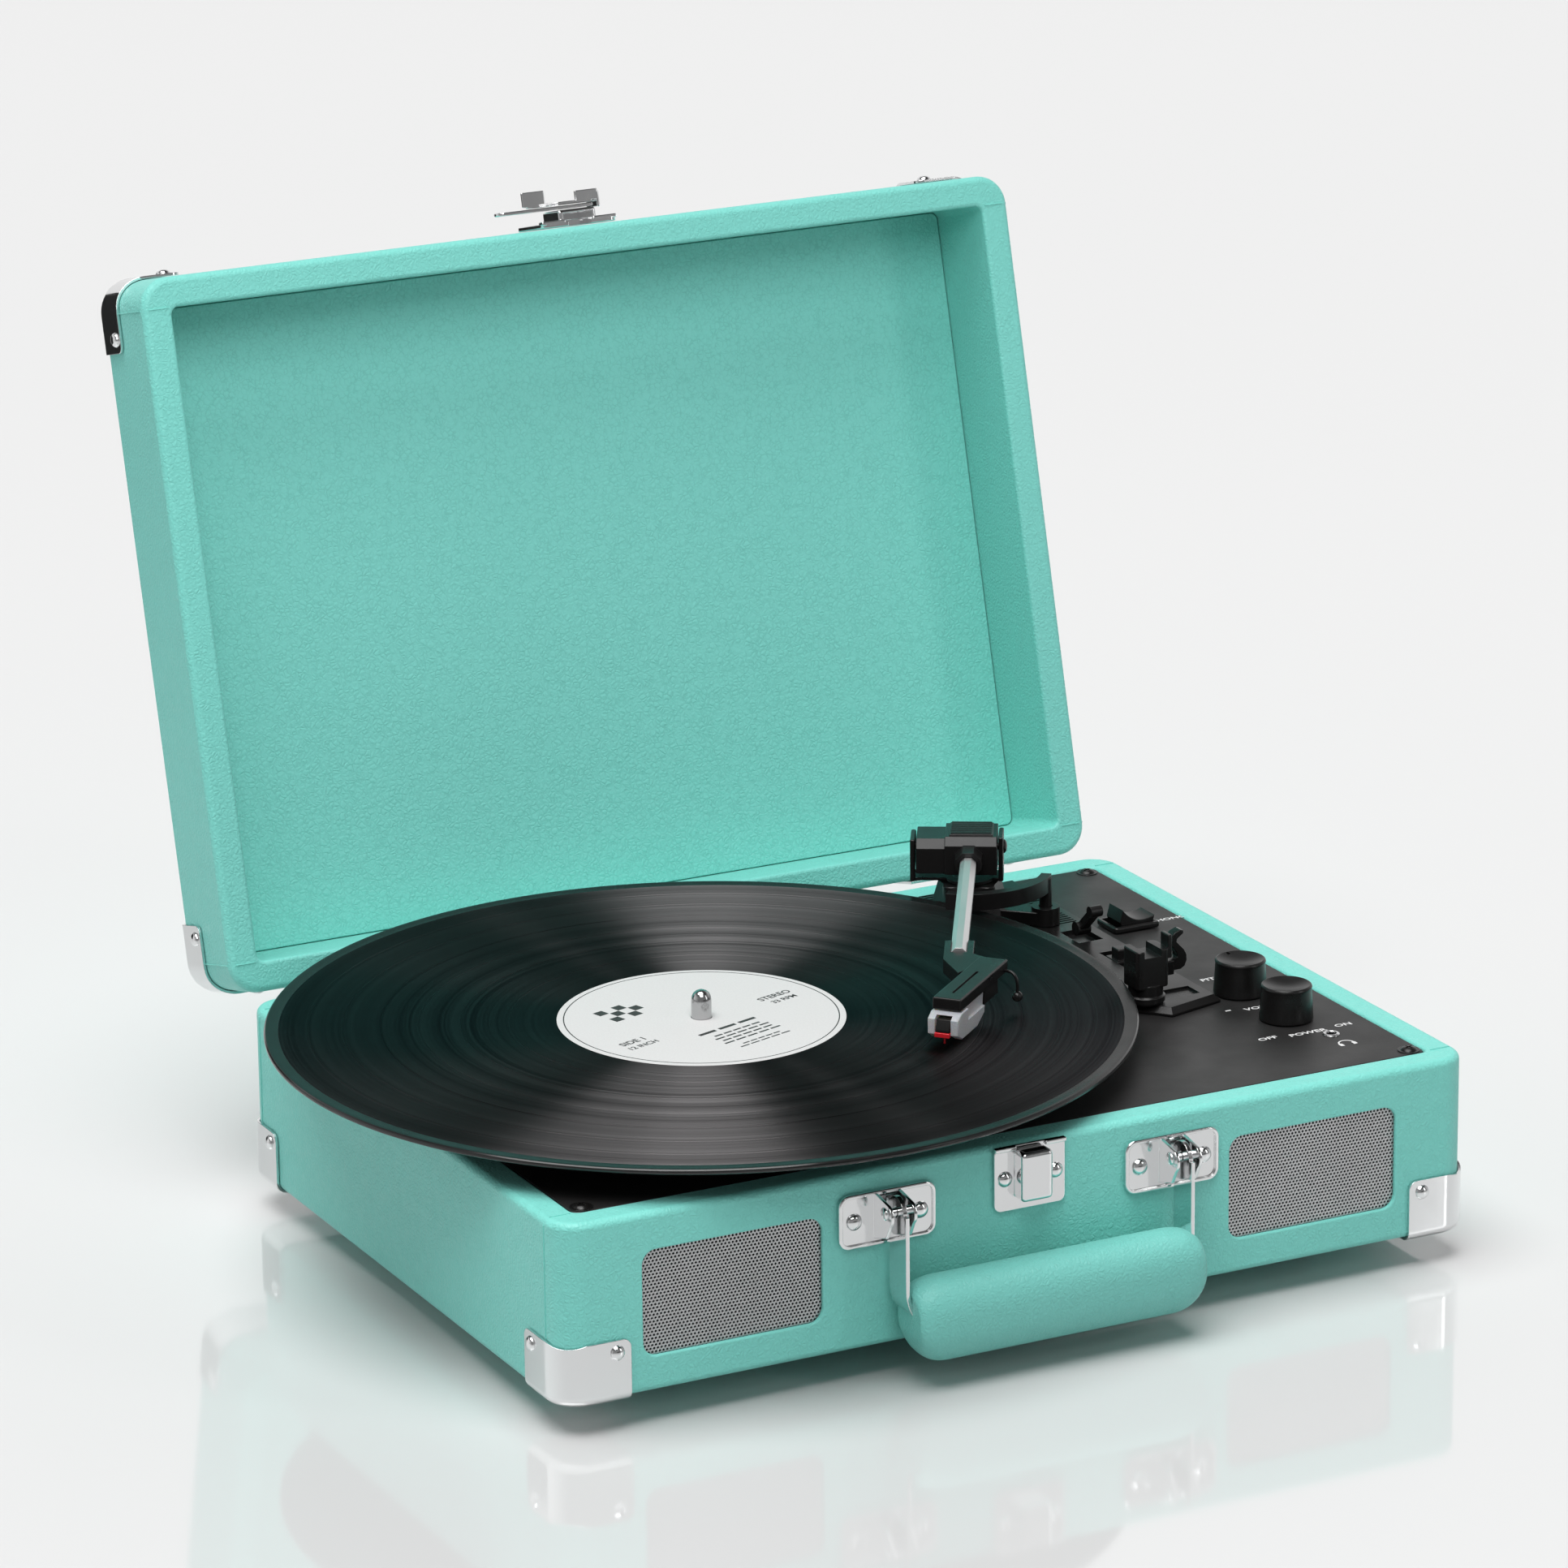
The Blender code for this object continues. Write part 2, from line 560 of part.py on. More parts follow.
def electronics():
    board = slab("circuit_board", (70, -15, 14), (150, 45, 15.6), BOARD)
    for number, (x, y) in enumerate(((74, -11), (146, -11), (74, 41), (146, 41))):
        fuse(board, cylinder("standoff_%d" % number, (x, y, 0), 2.5, FLOOR + GAP, 14.5, sides=10))
    fuse(board,
         slab("board_transformer", (80, -5, 15), (100, 15, 30)),
         slab("board_heat_sink", (134, 0, 15), (140, 30, 34)),
         cylinder("board_capacitor_0", (112, 2, 0), 5, 15, 31, sides=16),
         cylinder("board_capacitor_1", (112, 18, 0), 5, 15, 31, sides=16),
         cylinder("board_capacitor_2", (124, 32, 0), 4, 15, 26, sides=16))
    panel = slab("rear_jack_panel", (30 + GAP, 14 + GAP, -4), (110 - GAP, 46 - GAP, -2), BLACK, REAR,
                 corner=2.7)
    for number, x in enumerate((94, 78)):
        fuse(panel, cylinder("phono_socket_%d" % number, (x, 30, 0), 5, -3, 3, frame=REAR))
        cut(panel, cylinder("phono_bore_%d" % number, (x, 30, 0), 1.7, -3.5, 5, frame=REAR))
    cut(panel, cylinder("power_bore", (42, 30, 0), 1.9, -6, 1, frame=REAR),
        cylinder("line_bore", (58, 30, 0), 1.8, -6, 1, frame=REAR))
    turned("headphone_jack",
           [(0, 53.5), (1.8, 53.5), (1.8, 63.9), (2.4, 64.3), (4.4, 64.3), (5.0, 63.7), (5.0, 62.9),
            (3.9, 62.9), (3.9, 51), (0, 51)],
           CHROME, steps=16, location=(*JACK, 0))


# Turntable ----------------------------------------------------------------------------------------

def motor_place():
    turn = math.radians(MOTOR_BEARING)
    return (PLATTER[0] + MOTOR_REACH * math.cos(turn), PLATTER[1] + MOTOR_REACH * math.sin(turn))


def turntable():
    at = (*PLATTER, 0)
    under = 70.5
    turned("platter",
           [(SPINDLE_BORE, PLATTER_TOP), (PLATTER_RADIUS - 0.8, PLATTER_TOP),
            (PLATTER_RADIUS, PLATTER_TOP - 0.8), (PLATTER_RADIUS, 64.2), (97, 64.2), (97, under),
            (DRIVE_RING, under), (DRIVE_RING, 65), (68, 65), (68, under), (13, under), (13, 64.2),
            (SPINDLE_BORE, 64.2)],
           BLACK, steps=40, location=at)
    mat_top = RECORD_BOTTOM - GAP
    mat_low = PLATTER_TOP + GAP
    turned("slipmat", [(SPINDLE_BORE, mat_top), (98, mat_top), (98, mat_low), (SPINDLE_BORE, mat_low)],
           FELT, steps=40, location=at)
    middle = (RECORD_BOTTOM + RECORD_TOP) / 2
    turned("record",
           [(SPINDLE_BORE, RECORD_TOP), (RECORD_RADIUS - 0.6, RECORD_TOP), (RECORD_RADIUS, middle),
            (RECORD_RADIUS - 0.6, RECORD_BOTTOM), (SPINDLE_BORE, RECORD_BOTTOM)],
           VINYL, steps=80, location=at)
    shoulder = SPINDLE_TOP - 4
    turned("spindle",
           [(0, SPINDLE_TOP), (1.6, SPINDLE_TOP - 0.4), (2.9, SPINDLE_TOP - 1.6),
            (SPINDLE_RADIUS, shoulder), (SPINDLE_RADIUS, 49), (0, 49)],
           CHROME, steps=16, location=at)
    turned("platter_bearing",
           [(SPINDLE_BORE, 63.9), (16, 63.9), (16, 62.9), (13.6, 62.9), (13.6, 50), (9, 46),
            (SPINDLE_BORE, 46)],
           STEEL, steps=24, location=at)


def drive():
    at = (*motor_place(), 0)
    turned("motor", [(0, 50), (1.5, 50), (1.5, 59.3), (5, 59.3), (5, 57.5), (17, 57.5), (17, 34), (0, 34)],
           STEEL, steps=24, location=at)
    flange = PULLEY_RADIUS + 0.7
    turned("motor_pulley",
           [(0, 70), (flange, 70), (flange, 69.6), (PULLEY_RADIUS, 69.4), (PULLEY_RADIUS, 65.8),
            (flange, 65.6), (flange, 65), (1.2, 65), (1.2, 51), (0, 51)],
           STEEL, steps=16, location=at)
    big = DRIVE_RING + GAP + BELT_THICKNESS / 2
    small = PULLEY_RADIUS + GAP + BELT_THICKNESS / 2
    wrap = math.degrees(math.acos((big - small) / MOTOR_REACH))
    path = arc(PLATTER, big, MOTOR_BEARING + wrap, MOTOR_BEARING + 360 - wrap, 32)
    path += arc(motor_place(), small, MOTOR_BEARING - wrap, MOTOR_BEARING + wrap, 8)
    bm = bmesh.new()
    rows = [[bm.verts.new((x, y, z)) for x, y in path] for z in BELT]
    for i in range(len(path)):
        j = (i + 1) % len(path)
        bm.faces.new((rows[0][i], rows[0][j], rows[1][j], rows[1][i]))
    belt = place("drive_belt", bm, RUBBER)
    solid = belt.modifiers.new("thickness", "SOLIDIFY")
    solid.thickness = BELT_THICKNESS * MM
    solid.offset = 0
    solid.use_even_offset = True


# Tonearm ------------------------------------------------------------------------------------------

def module_plate():
    """The raised plate that carries the arm and its controls, with sloping edges."""
    outline = [(84, 112), (84, -20), (104, -44), (127, -38), (127, 112)]
    bm = prism_mesh(outline, DECK_TOP + GAP, MODULE_TOP)
    rim = [e for e in bm.edges if all(abs(v.co.z - MODULE_TOP) < 0.01 for v in e.verts)]
    bmesh.ops.bevel(bm, geom=rim, offset=2.0, segments=1, profile=0.5, affect="EDGES")
    plate = place("arm_module_plate", bm, BLACK)
    x, y = SLIDER
    cut(plate, slab("slider_recess", (x - 4.5, -1, DECK_TOP + 1), (x + 6, 22, MODULE_TOP + 1)),
        slab("cue_recess", (CUE[0] - 5, CUE[1] - 7, DECK_TOP + 1), (CUE[0] + 5, CUE[1] + 7, 67)))
    for number in range(9):
        slot_y = 58 + 3.2 * number
        cut(plate, slab("vent_%d" % number, (113.5, slot_y, 64.3), (123, slot_y + 1.6, 67)))


def pedestal():
    x, y = ARM_PIVOT
    low = MODULE_TOP + GAP
    base = cylinder("tonearm_base", (x, y, 0), 15.5, low, 80, BLACK, sides=8, top_radius=11.5, turn=22.5)
    turn = math.radians(LIFT_POST)
    post = (x + LIFT_RADIUS * math.cos(turn), y + LIFT_RADIUS * math.sin(turn))
    web = slab("pedestal_web", (5, -5, low), (LIFT_RADIUS, 5, 71), location=(x, y, 0),
               rotation=(0, 0, LIFT_POST))
    boss = cylinder("lift_boss", (*post, 0), 5.2, low, 72.5, sides=20)
    bore = cylinder("lift_bore", (*post, 0), 2.6, low + 1, 75, sides=16)
    fuse(base, web, boss)
    cut(base, bore, cylinder("swing_bore", (x, y, 0), 3.4, 70, 82, sides=20))


def lift_platform():
    """A curved rail under the arm, on a post that slides in the pedestal's boss."""
    bm = bmesh.new()
    profile = [(LIFT_RADIUS - 2.2, 84), (LIFT_RADIUS + 1.6, 84), (LIFT_RADIUS + 1.6, 78),
               (LIFT_RADIUS, 78), (LIFT_RADIUS, 82.4), (LIFT_RADIUS - 2.2, 82.4)]
    section = bm.faces.new([bm.verts.new((r, 0, z)) for r, z in profile])
    start, end = -135.0, -40.0
    bmesh.ops.rotate(bm, matrix=Matrix.Rotation(math.radians(start), 3, "Z"), verts=bm.verts)
    bmesh.ops.spin(bm, geom=[section, *section.edges, *section.verts], cent=(0, 0, 0), axis=(0, 0, 1),
                   angle=math.radians(end - start), steps=20)
    bmesh.ops.remove_doubles(bm, verts=bm.verts, dist=0.001)
    bmesh.ops.recalc_face_normals(bm, faces=bm.faces)
    rail = place("lift_platform", bm, BLACK, None, (*ARM_PIVOT, 0))
    turn = math.radians(LIFT_POST)
    at = (ARM_PIVOT[0] + LIFT_RADIUS * math.cos(turn), ARM_PIVOT[1] + LIFT_RADIUS * math.sin(turn), 0)
    fuse(rail, cylinder("lift_post", at, 2.3, 68, 83, sides=16))


def yoke():
    """The fork that turns on the pedestal and holds the arm block between its cheeks."""
    lift_x, lift_z = LIFT_AXIS
    piece = cylinder("tonearm_yoke", (0, 0, 0), 9, 80.3, 81.4, BLACK, ARM, sides=24)
    fuse(piece,
         cylinder("yoke_shaft", (0, 0, 0), 3, 71, 80.8, frame=ARM, sides=20),
         slab("yoke_cross", (lift_x - 5, -21.5, 80.32), (lift_x + 5, 12.4, 81.38), frame=ARM),
         slab("yoke_cheek_outer", (lift_x - 7, 10.6, 80.35), (lift_x + 6, 12.35, 97), frame=ARM),
         slab("yoke_cheek_inner", (lift_x - 7, -21.45, 80.35), (lift_x + 6, -19.6, 96), frame=ARM),
         cylinder("yoke_pin_outer", (lift_x, 11.5, lift_z), 1.3, 0, 4.5, frame=ARM, sides=12,
                  rotation=(90, 0, 0)),
         cylinder("yoke_pin_inner", (lift_x, -20.5, lift_z), 1.3, 0, 4.5, frame=ARM, sides=12,
                  rotation=(-90, 0, 0)))


def arm_block():
    """Side profiles in the arm's X and Z, drawn across the arm."""
    main = [(-14, 84), (7.5, 84), (7.5, 94.8), (4.8, 97.6), (-11.5, 97.6), (-14, 95.5)]
    side = [(-14, 84), (6.3, 84), (6.3, 93.4), (3.2, 96.4), (-11, 96.4), (-14, 94)]
    block = prism("arm_pivot_block", main, -10.2, 8.8, BLACK, ARM, rotation=(90, 0, 0))
    fuse(block,
         prism("block_side", side, 8.5, 19.2, frame=ARM, rotation=(90, 0, 0)),
         slab("block_cap", (-11, -7.2, 97), (4, 8.6, 98.7), frame=ARM),
         cylinder("arm_nozzle", (6, 0, ARM_HEIGHT), 5.6, 0, 9, frame=ARM, sides=8, top_radius=5.0,
                  rotation=(0, 90, 0), turn=22.5))
    cut(block,
        cylinder("nozzle_bore", (TUBE_START - 1, 0, ARM_HEIGHT), SOCKET_RADIUS, 0, 12, frame=ARM,
                 sides=8, rotation=(0, 90, 0), turn=22.5),
        cylinder("block_pin_bore", (LIFT_AXIS[0], 15, LIFT_AXIS[1]), 1.7, 0, 40, frame=ARM, sides=12,
                 rotation=(90, 0, 0)))


def arm_tube():
    cylinder("arm_tube", (TUBE_START, 0, ARM_HEIGHT), TUBE_RADIUS, 0, TUBE_END - TUBE_START, ALUMINIUM,
             ARM, sides=8, rotation=(0, 90, 0), turn=22.5)


def headshell():
    """The collar on the tube, the offset shell and its finger lift."""
    half = SHELL_WIDTH / 2
    top = 92.0
    shell = slab("headshell", (0, -half, 87.6), (SHELL_LENGTH, half, top), BLACK, SHELL, edge=0.6,
                 edge_steps=1, bottom=False)
    collar = [(104, -5.2), (124, -5.2), (139, 0.5), (132, 7), (122, 10), (118, 5.2), (104, 5.2)]
    fuse(shell,
         prism("shell_collar", collar, 86.2, top - 0.3, frame=ARM),
         slab("shell_body", (9, -half + 1.2, 82.5), (22, half - 0.3, 88), frame=SHELL),
         slab("finger_arm", (2.5, half - 1, 87.8), (5.5, half + 5.5, 89.3), frame=SHELL),
         slab("finger_drop", (2.6, half + 4.2, 80.5), (5.4, half + 5.6, 89.2), frame=SHELL),
         dome("finger_ball", (4, half + 4.9, 80.3), SHELL, flat=1.0, radius=1.9))
    cut(shell, cylinder("collar_bore", (100, 0, ARM_HEIGHT), SOCKET_RADIUS, 0, TUBE_END - 99, frame=ARM,
                        sides=8, rotation=(0, 90, 0), turn=22.5))


def cartridge():
    side = [(23, 87.3), (24, 80.5), (33, 77.6), (46, 77.6), (50, 80), (50, 85.5), (46.5, 87.3)]
    piece = prism("cartridge", side, -5.6, 5.6, CLEAR_WHITE, SHELL, rotation=(90, 0, 0))
    cut(piece, slab("stylus_bay", (43.5, -2.9, 70), (60, 2.9, 86.5), frame=SHELL))
    holder = prism("stylus", [(44, 86), (49, 85), (50.2, 82), (50.2, 79.8), (44, 79.8)], -2.5, 2.5, RED,
                   SHELL, rotation=(90, 0, 0))
    fuse(holder, cylinder("stylus_tip", (48, 0, 0), 0.9, RECORD_TOP + GAP, 80.5, frame=SHELL, sides=10,
                          rotation=(0, 0, 0)))


def arm_rest():
    """A post with a saddle for the parked arm, and a hooked clip on a pin beside it."""
    x, y = REST_POST
    axis_x, axis_y, axis_z = CLIP_AXIS
    post = turned("arm_rest_post",
                  [(0, 73), (6.2, 73), (6.2, 69), (6.9, 68.4), (6.9, 66.6), (6.3, 66.2), (6.3, 65.9),
                   (0, 65.9)],
                  BLACK, steps=16, location=(x, y, 0))
    fuse(post,
         slab("rest_block", (-6.4, -5.6, 72), (6.6, 5.6, 86), location=(x, y, 0), corner=2),
         slab("rest_far_shelf", (4, -4.8, 82), (7.9, 0.8, 85.9), location=(x, y, 0)),
         slab("rest_far_prong", (6.3, -4.8, 85), (7.9, 0.8, 90.5), location=(x, y, 0)),
         slab("clip_lug", (x + 5, axis_y - 3, axis_z - 2.6), (axis_x + 2.6, axis_y - 0.3, axis_z + 2.6)),
         cylinder("clip_pin", (axis_x, axis_y - 1, axis_z), 1.2, 0, 5, sides=12, rotation=(-90, 0, 0)))
    outline = [(-2, -1.8), (7, -2.4), (9, -0.4), (9.4, 3), (7.4, 6), (5.2, 8.2), (5.4, 9.4), (8, 11.2),
               (6.8, 12.2), (4.2, 11.2), (2.9, 9), (3.3, 6.8), (5, 4.6), (5.8, 2.8), (4.2, 2.2),
               (-2, 1.8)]
    clip = prism("arm_rest_clip", outline, -4, 0, BLACK, location=CLIP_AXIS, rotation=(90, 0, 0))
    cut(clip, cylinder("clip_bore", CLIP_AXIS, 1.55, -1, 5, sides=12, rotation=(-90, 0, 0)))


# Controls -----------------------------------------------------------------------------------------

def knobs():
    low = DECK_TOP + 0.5
    top = low + 12.5
    for name, y in (("pitch_knob", PITCH_Y), ("volume_knob", VOLUME_Y)):
        turned(name,
               [(0, top - 1.9), (4.5, top - 1.5), (8, top - 0.4), (8.8, top), (9.3, top - 0.4),
                (KNOB_RADIUS - 0.2, top - 1), (KNOB_RADIUS, low), (3, low), (3, 55), (0, 55)],
               BLACK, steps=24, location=(KNOB_X, y, 0))


def rocker():
    x, y, z = ROCKER
    bezel = slab("rocker_bezel", (-9.4, -7.2, DECK_TOP + GAP), (9.4, 7.2, 65), BLACK, corner=1.5,
                 location=(x, y, 0))
    cut(bezel, slab("bezel_opening", (-8.0, -5.6, 60), (8.0, 5.6, 67), location=(x, y, 0)))
    reach, height, sag = 6.8, 6.2, 2.2
    outline = [(reach, 1.5), (reach, height)]
    outline += [(reach * (1 - i / 4), height - sag * (1 - (1 - i / 4) ** 2)) for i in range(1, 8)]
    outline += [(-reach, height), (-reach, 1.5), (-3.5, -3), (3.5, -3)]
    prism("rocker_switch", outline, -5.2, 5.2, BLACK, location=(x, y, z), rotation=(90, ROCKER_TILT, 0))


def cue_lever():
    x, y, z = CUE
    lever = cylinder("cue_lever", (x - 2.6, y, z), 2.6, 0, 5.2, BLACK, sides=16, rotation=(0, 90, 0))
    fuse(lever,
         slab("cue_bar", (-1.9, -1.4, 0), (1.9, 1.4, 13.5), location=(x, y, z), rotation=(47, 0, 0)),
         cylinder("cue_end", (-2.2, 0, 13.2), 2.0, 0, 4.4, frame=empty("cue_frame", (x, y, z), (47, 0, 0)),
                  sides=12, rotation=(0, 90, 0)))


def speed_slider():
    x, y = SLIDER
    piece = slab("speed_slider", (x - 3.5, y - 4.5, DECK_TOP + 1 + GAP), (x + 4.5, y + 4.5, 65.2), BLACK)
    fuse(piece, slab("slider_grip", (x - 2.4, y - 2.4, 64.5), (x + 2.4, y + 2.4, 69), edge=0.5))


base_case()
deck_panel()
feet()
corner_brackets("base", None, 0.0, 0.0, 1, BRACKET_HEIGHT)
lid()
hinges()
catch()
striker()
handle_plates()
handle()
speakers()
electronics()
turntable()
drive()
module_plate()
pedestal()
lift_platform()
yoke()
arm_block()
arm_tube()
headshell()
cartridge()
arm_rest()
knobs()
rocker()
cue_lever()
speed_slider()
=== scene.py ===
"""Looks of the suitcase record player: every visible piece, its material, and a plain studio.

Lengths are in millimetres and become metres when a mesh is made. Pieces are drawn in the same frames
as the CAD: the case's own frame, the lid as it lies closed about its hinge, and the arm along +X.
"""
import json
import math

import bmesh
import bpy
from mathutils import Matrix, Vector

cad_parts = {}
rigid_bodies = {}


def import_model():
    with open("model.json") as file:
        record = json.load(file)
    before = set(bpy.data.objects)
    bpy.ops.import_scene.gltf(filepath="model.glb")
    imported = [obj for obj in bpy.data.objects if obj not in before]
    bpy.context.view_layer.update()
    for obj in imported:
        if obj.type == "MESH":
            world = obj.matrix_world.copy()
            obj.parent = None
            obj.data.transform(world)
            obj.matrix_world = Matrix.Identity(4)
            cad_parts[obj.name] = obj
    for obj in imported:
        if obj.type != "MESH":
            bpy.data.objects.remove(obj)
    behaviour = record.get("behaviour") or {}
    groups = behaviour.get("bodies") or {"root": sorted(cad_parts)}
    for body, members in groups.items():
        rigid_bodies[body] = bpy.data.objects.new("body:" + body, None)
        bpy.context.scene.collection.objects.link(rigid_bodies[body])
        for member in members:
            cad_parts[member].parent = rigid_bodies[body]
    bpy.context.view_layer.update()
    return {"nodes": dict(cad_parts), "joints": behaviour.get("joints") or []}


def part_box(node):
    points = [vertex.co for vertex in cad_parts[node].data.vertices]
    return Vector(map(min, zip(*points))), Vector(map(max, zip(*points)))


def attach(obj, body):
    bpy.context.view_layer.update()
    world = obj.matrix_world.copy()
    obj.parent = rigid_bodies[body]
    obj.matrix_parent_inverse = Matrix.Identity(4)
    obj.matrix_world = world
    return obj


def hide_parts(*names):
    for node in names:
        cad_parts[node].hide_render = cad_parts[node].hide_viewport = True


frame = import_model()

MM = 0.001
GAP = 0.3


def node_box(node):
    """Lowest and highest corner of a CAD node, in millimetres."""
    return [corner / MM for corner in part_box(node)]


def joint(name):
    return next(j for j in frame["joints"] if j["name"] == name)


def joint_place(name):
    return Vector(joint(name)["pos_m"]) / MM


# Sizes read from the frame ------------------------------------------------------------------------

CASE_HIGH = node_box("base_case")[1]
CASE_X, CASE_Y = CASE_HIGH.x, CASE_HIGH.y
BASE_HEIGHT = CASE_HIGH.z
WALL = 11.0
CORNER = 11.0
LID_HEIGHT = 40.0
LID_DEPTH = 37.8
LID_RIM = 5.7
LID_OPEN = 104.62
HINGE = joint_place("lid_hinge")
LID_BACK = CASE_Y - HINGE.y
LID_FRONT = -CASE_Y - HINGE.y
LID_TOP = LID_RIM + LID_HEIGHT
DECK_TOP = node_box("deck_panel")[1].z
FLOOR_Z = node_box("foot_front_left")[0].z
PLATTER = joint_place("platter_spin")
RECORD_LOW, RECORD_HIGH = node_box("record")
RECORD_RADIUS = (RECORD_HIGH.x - RECORD_LOW.x) / 2
LABEL_RADIUS = 50.0
ARM_PIVOT = joint_place("tonearm_swing")
ARM_TURN = -120.4
ARM_HEIGHT = 90.0
SHELL_REAR = (123.4, 12.4)
SHELL_TURN = -18.8
SHELL_LENGTH = 46.2
SHELL_WIDTH = 10.4
MODULE_LOW, MODULE_HIGH = node_box("arm_module_plate")
CHROME_GAP = 0.3
TRIM = 1.0


def turn(angle, axis):
    return Matrix.Rotation(math.radians(angle), 4, axis)


def move(x, y, z=0.0):
    return Matrix.Translation((x * MM, y * MM, z * MM))


HERE = Matrix.Identity(4)
LID = move(0, HINGE.y, HINGE.z) @ turn(-LID_OPEN, "X")
ARM = move(ARM_PIVOT.x, ARM_PIVOT.y) @ turn(ARM_TURN, "Z")
SHELL = ARM @ move(*SHELL_REAR) @ turn(SHELL_TURN, "Z")
FRONT = move(0, -CASE_Y) @ turn(90, "X")
REAR = move(0, CASE_Y) @ turn(180, "Z") @ turn(90, "X")
CATCH = LID @ move(0, LID_FRONT, LID_RIM) @ turn(90, "X")


# Materials ----------------------------------------------------------------------------------------

class Look:
    """A material's node tree, with short calls for the nodes used here."""

    def __init__(self, name, colour, roughness, metallic=0.0, **sockets):
        self.material = bpy.data.materials.new(name)
        self.material.use_nodes = True
        self.tree = self.material.node_tree
        self.shader = self.tree.nodes["Principled BSDF"]
        self.shader.inputs["Base Color"].default_value = (*colour, 1.0)
        self.shader.inputs["Roughness"].default_value = roughness
        self.shader.inputs["Metallic"].default_value = metallic
        for socket, value in sockets.items():
            self.shader.inputs[socket.replace("_", " ")].default_value = value
        self.place = self.node("ShaderNodeTexCoord").outputs["Object"]

    def node(self, kind, **settings):
        made = self.tree.nodes.new(kind)
        for key, value in settings.items():
            if key in made.inputs:
                made.inputs[key].default_value = value
            else:
                setattr(made, key, value)
        return made

    def link(self, source, target):
        self.tree.links.new(source, target)

    def noise(self, scale, detail=3.0, roughness=0.5):
        made = self.node("ShaderNodeTexNoise", Scale=scale, Detail=detail, Roughness=roughness)
        self.link(self.place, made.inputs["Vector"])
        return made.outputs["Fac"]

    def cells(self, scale, feature="F1", source=None):
        made = self.node("ShaderNodeTexVoronoi", feature=feature, Scale=scale)
        self.link(source or self.place, made.inputs["Vector"])
        return made.outputs["Distance"]

    def ramp(self, source, low, high, a=0.0, b=1.0):
        made = self.node("ShaderNodeMapRange")
        for socket, value in (("From Min", low), ("From Max", high), ("To Min", a), ("To Max", b)):
            made.inputs[socket].default_value = value
        self.link(source, made.inputs["Value"])
        return made.outputs["Result"]

    def maths(self, how, a, b):
        made = self.node("ShaderNodeMath", operation=how)
        for socket, value in zip(made.inputs, (a, b)):
            if isinstance(value, (int, float)):
                socket.default_value = value
            else:
                self.link(value, socket)
        return made.outputs["Value"]

    def colours(self, factor, first, second):
        made = self.node("ShaderNodeMix", data_type="RGBA")
        for socket in made.inputs:
            if socket.name in ("A", "B") and socket.type == "RGBA":
                socket.default_value = (*(first if socket.name == "A" else second), 1.0)
        self.link(factor, made.inputs["Factor"])
        out = next(o for o in made.outputs if o.type == "RGBA")
        self.link(out, self.shader.inputs["Base Color"])

    def rough(self, source):
        self.link(source, self.shader.inputs["Roughness"])

    def bump(self, height, distance, strength=1.0, edge=0.0):
        made = self.node("ShaderNodeBump", Strength=strength, Distance=distance * MM)
        self.link(height, made.inputs["Height"])
        if edge:
            rounded = self.node("ShaderNodeBevel", samples=4, Radius=edge * MM)
            self.link(rounded.outputs["Normal"], made.inputs["Normal"])
        self.link(made.outputs["Normal"], self.shader.inputs["Normal"])


def leatherette(name, light, crease_shade_colour, size=1.0, depth=0.16, crease_shade_strength=0.5):
    """Embossed vinyl cloth: small pebbles parted by fine broken furrows, with a soft uneven sheen; the
    furrows are painted darker as painted shade.
    """
    look = Look(name, light, 0.5, Specular_IOR_Level=0.42, Sheen_Weight=0.06)
    warp = look.node("ShaderNodeTexNoise", Scale=420.0 / size, Detail=3.0)
    look.link(look.place, warp.inputs["Vector"])
    offset = look.node("ShaderNodeVectorMath", operation="MULTIPLY_ADD")
    look.link(warp.outputs["Color"], offset.inputs[0])
    offset.inputs[1].default_value = (0.0024 * size,) * 3
    look.link(look.place, offset.inputs[2])
    edges = look.cells(600.0 / size, "DISTANCE_TO_EDGE", offset.outputs["Vector"])
    pebble = look.ramp(edges, 0.0, 0.30)
    fine = look.cells(1500.0 / size, "SMOOTH_F1", offset.outputs["Vector"])
    broken = look.ramp(look.noise(330.0, 2.0, 0.6), 0.30, 0.60)
    crossed = look.maths("MULTIPLY", pebble, look.ramp(broken, 0.0, 1.0, 0.45, 1.0))
    height = look.maths("ADD", crossed, look.maths("MULTIPLY", fine, -0.30))
    look.bump(height, depth)
    # Painted shade: the colour darkens along the furrows between pebbles, and a faint random tone change is
    # added on top.
    crease_shade = look.maths("MULTIPLY", look.ramp(edges, 0.0, 0.13, crease_shade_strength, 0.0), broken)
    crease_shade_and_tone = look.maths("ADD", crease_shade, look.ramp(look.noise(9.0, 2.0), 0.3, 0.8, 0.0, 0.06))
    look.colours(crease_shade_and_tone, light, crease_shade_colour)
    look.rough(look.ramp(look.noise(240.0, 3.0), 0.3, 0.7, 0.42, 0.56))
    return look.material


def chrome(name, colour=(0.80, 0.805, 0.81), roughness=0.07, brushed=0.0):
    look = Look(name, colour, roughness, 1.0)
    smear = look.noise(35.0, 4.0, 0.6)
    look.rough(look.ramp(smear, 0.3, 0.75, roughness, roughness + 0.06 + brushed))
    look.bump(look.noise(90.0, 2.0), 0.02, 0.35, edge=0.35)
    return look.material


def plastic(name, colour, roughness, texture=0.03, scale=2600.0, **sockets):
    """Moulded plastic with a fine spark-eroded texture and slightly uneven gloss."""
    look = Look(name, colour, roughness, **sockets)
    grain = look.noise(scale, 2.0)
    look.bump(grain, texture, 0.6, edge=0.25)
    look.rough(look.ramp(look.noise(60.0, 3.0), 0.3, 0.7, roughness - 0.05, roughness + 0.06))
    lighter = tuple(min(1.0, c * 1.6 + 0.002) for c in colour)
    look.colours(look.ramp(grain, 0.45, 0.75, 0.0, 0.5), colour, lighter)
    return look.material


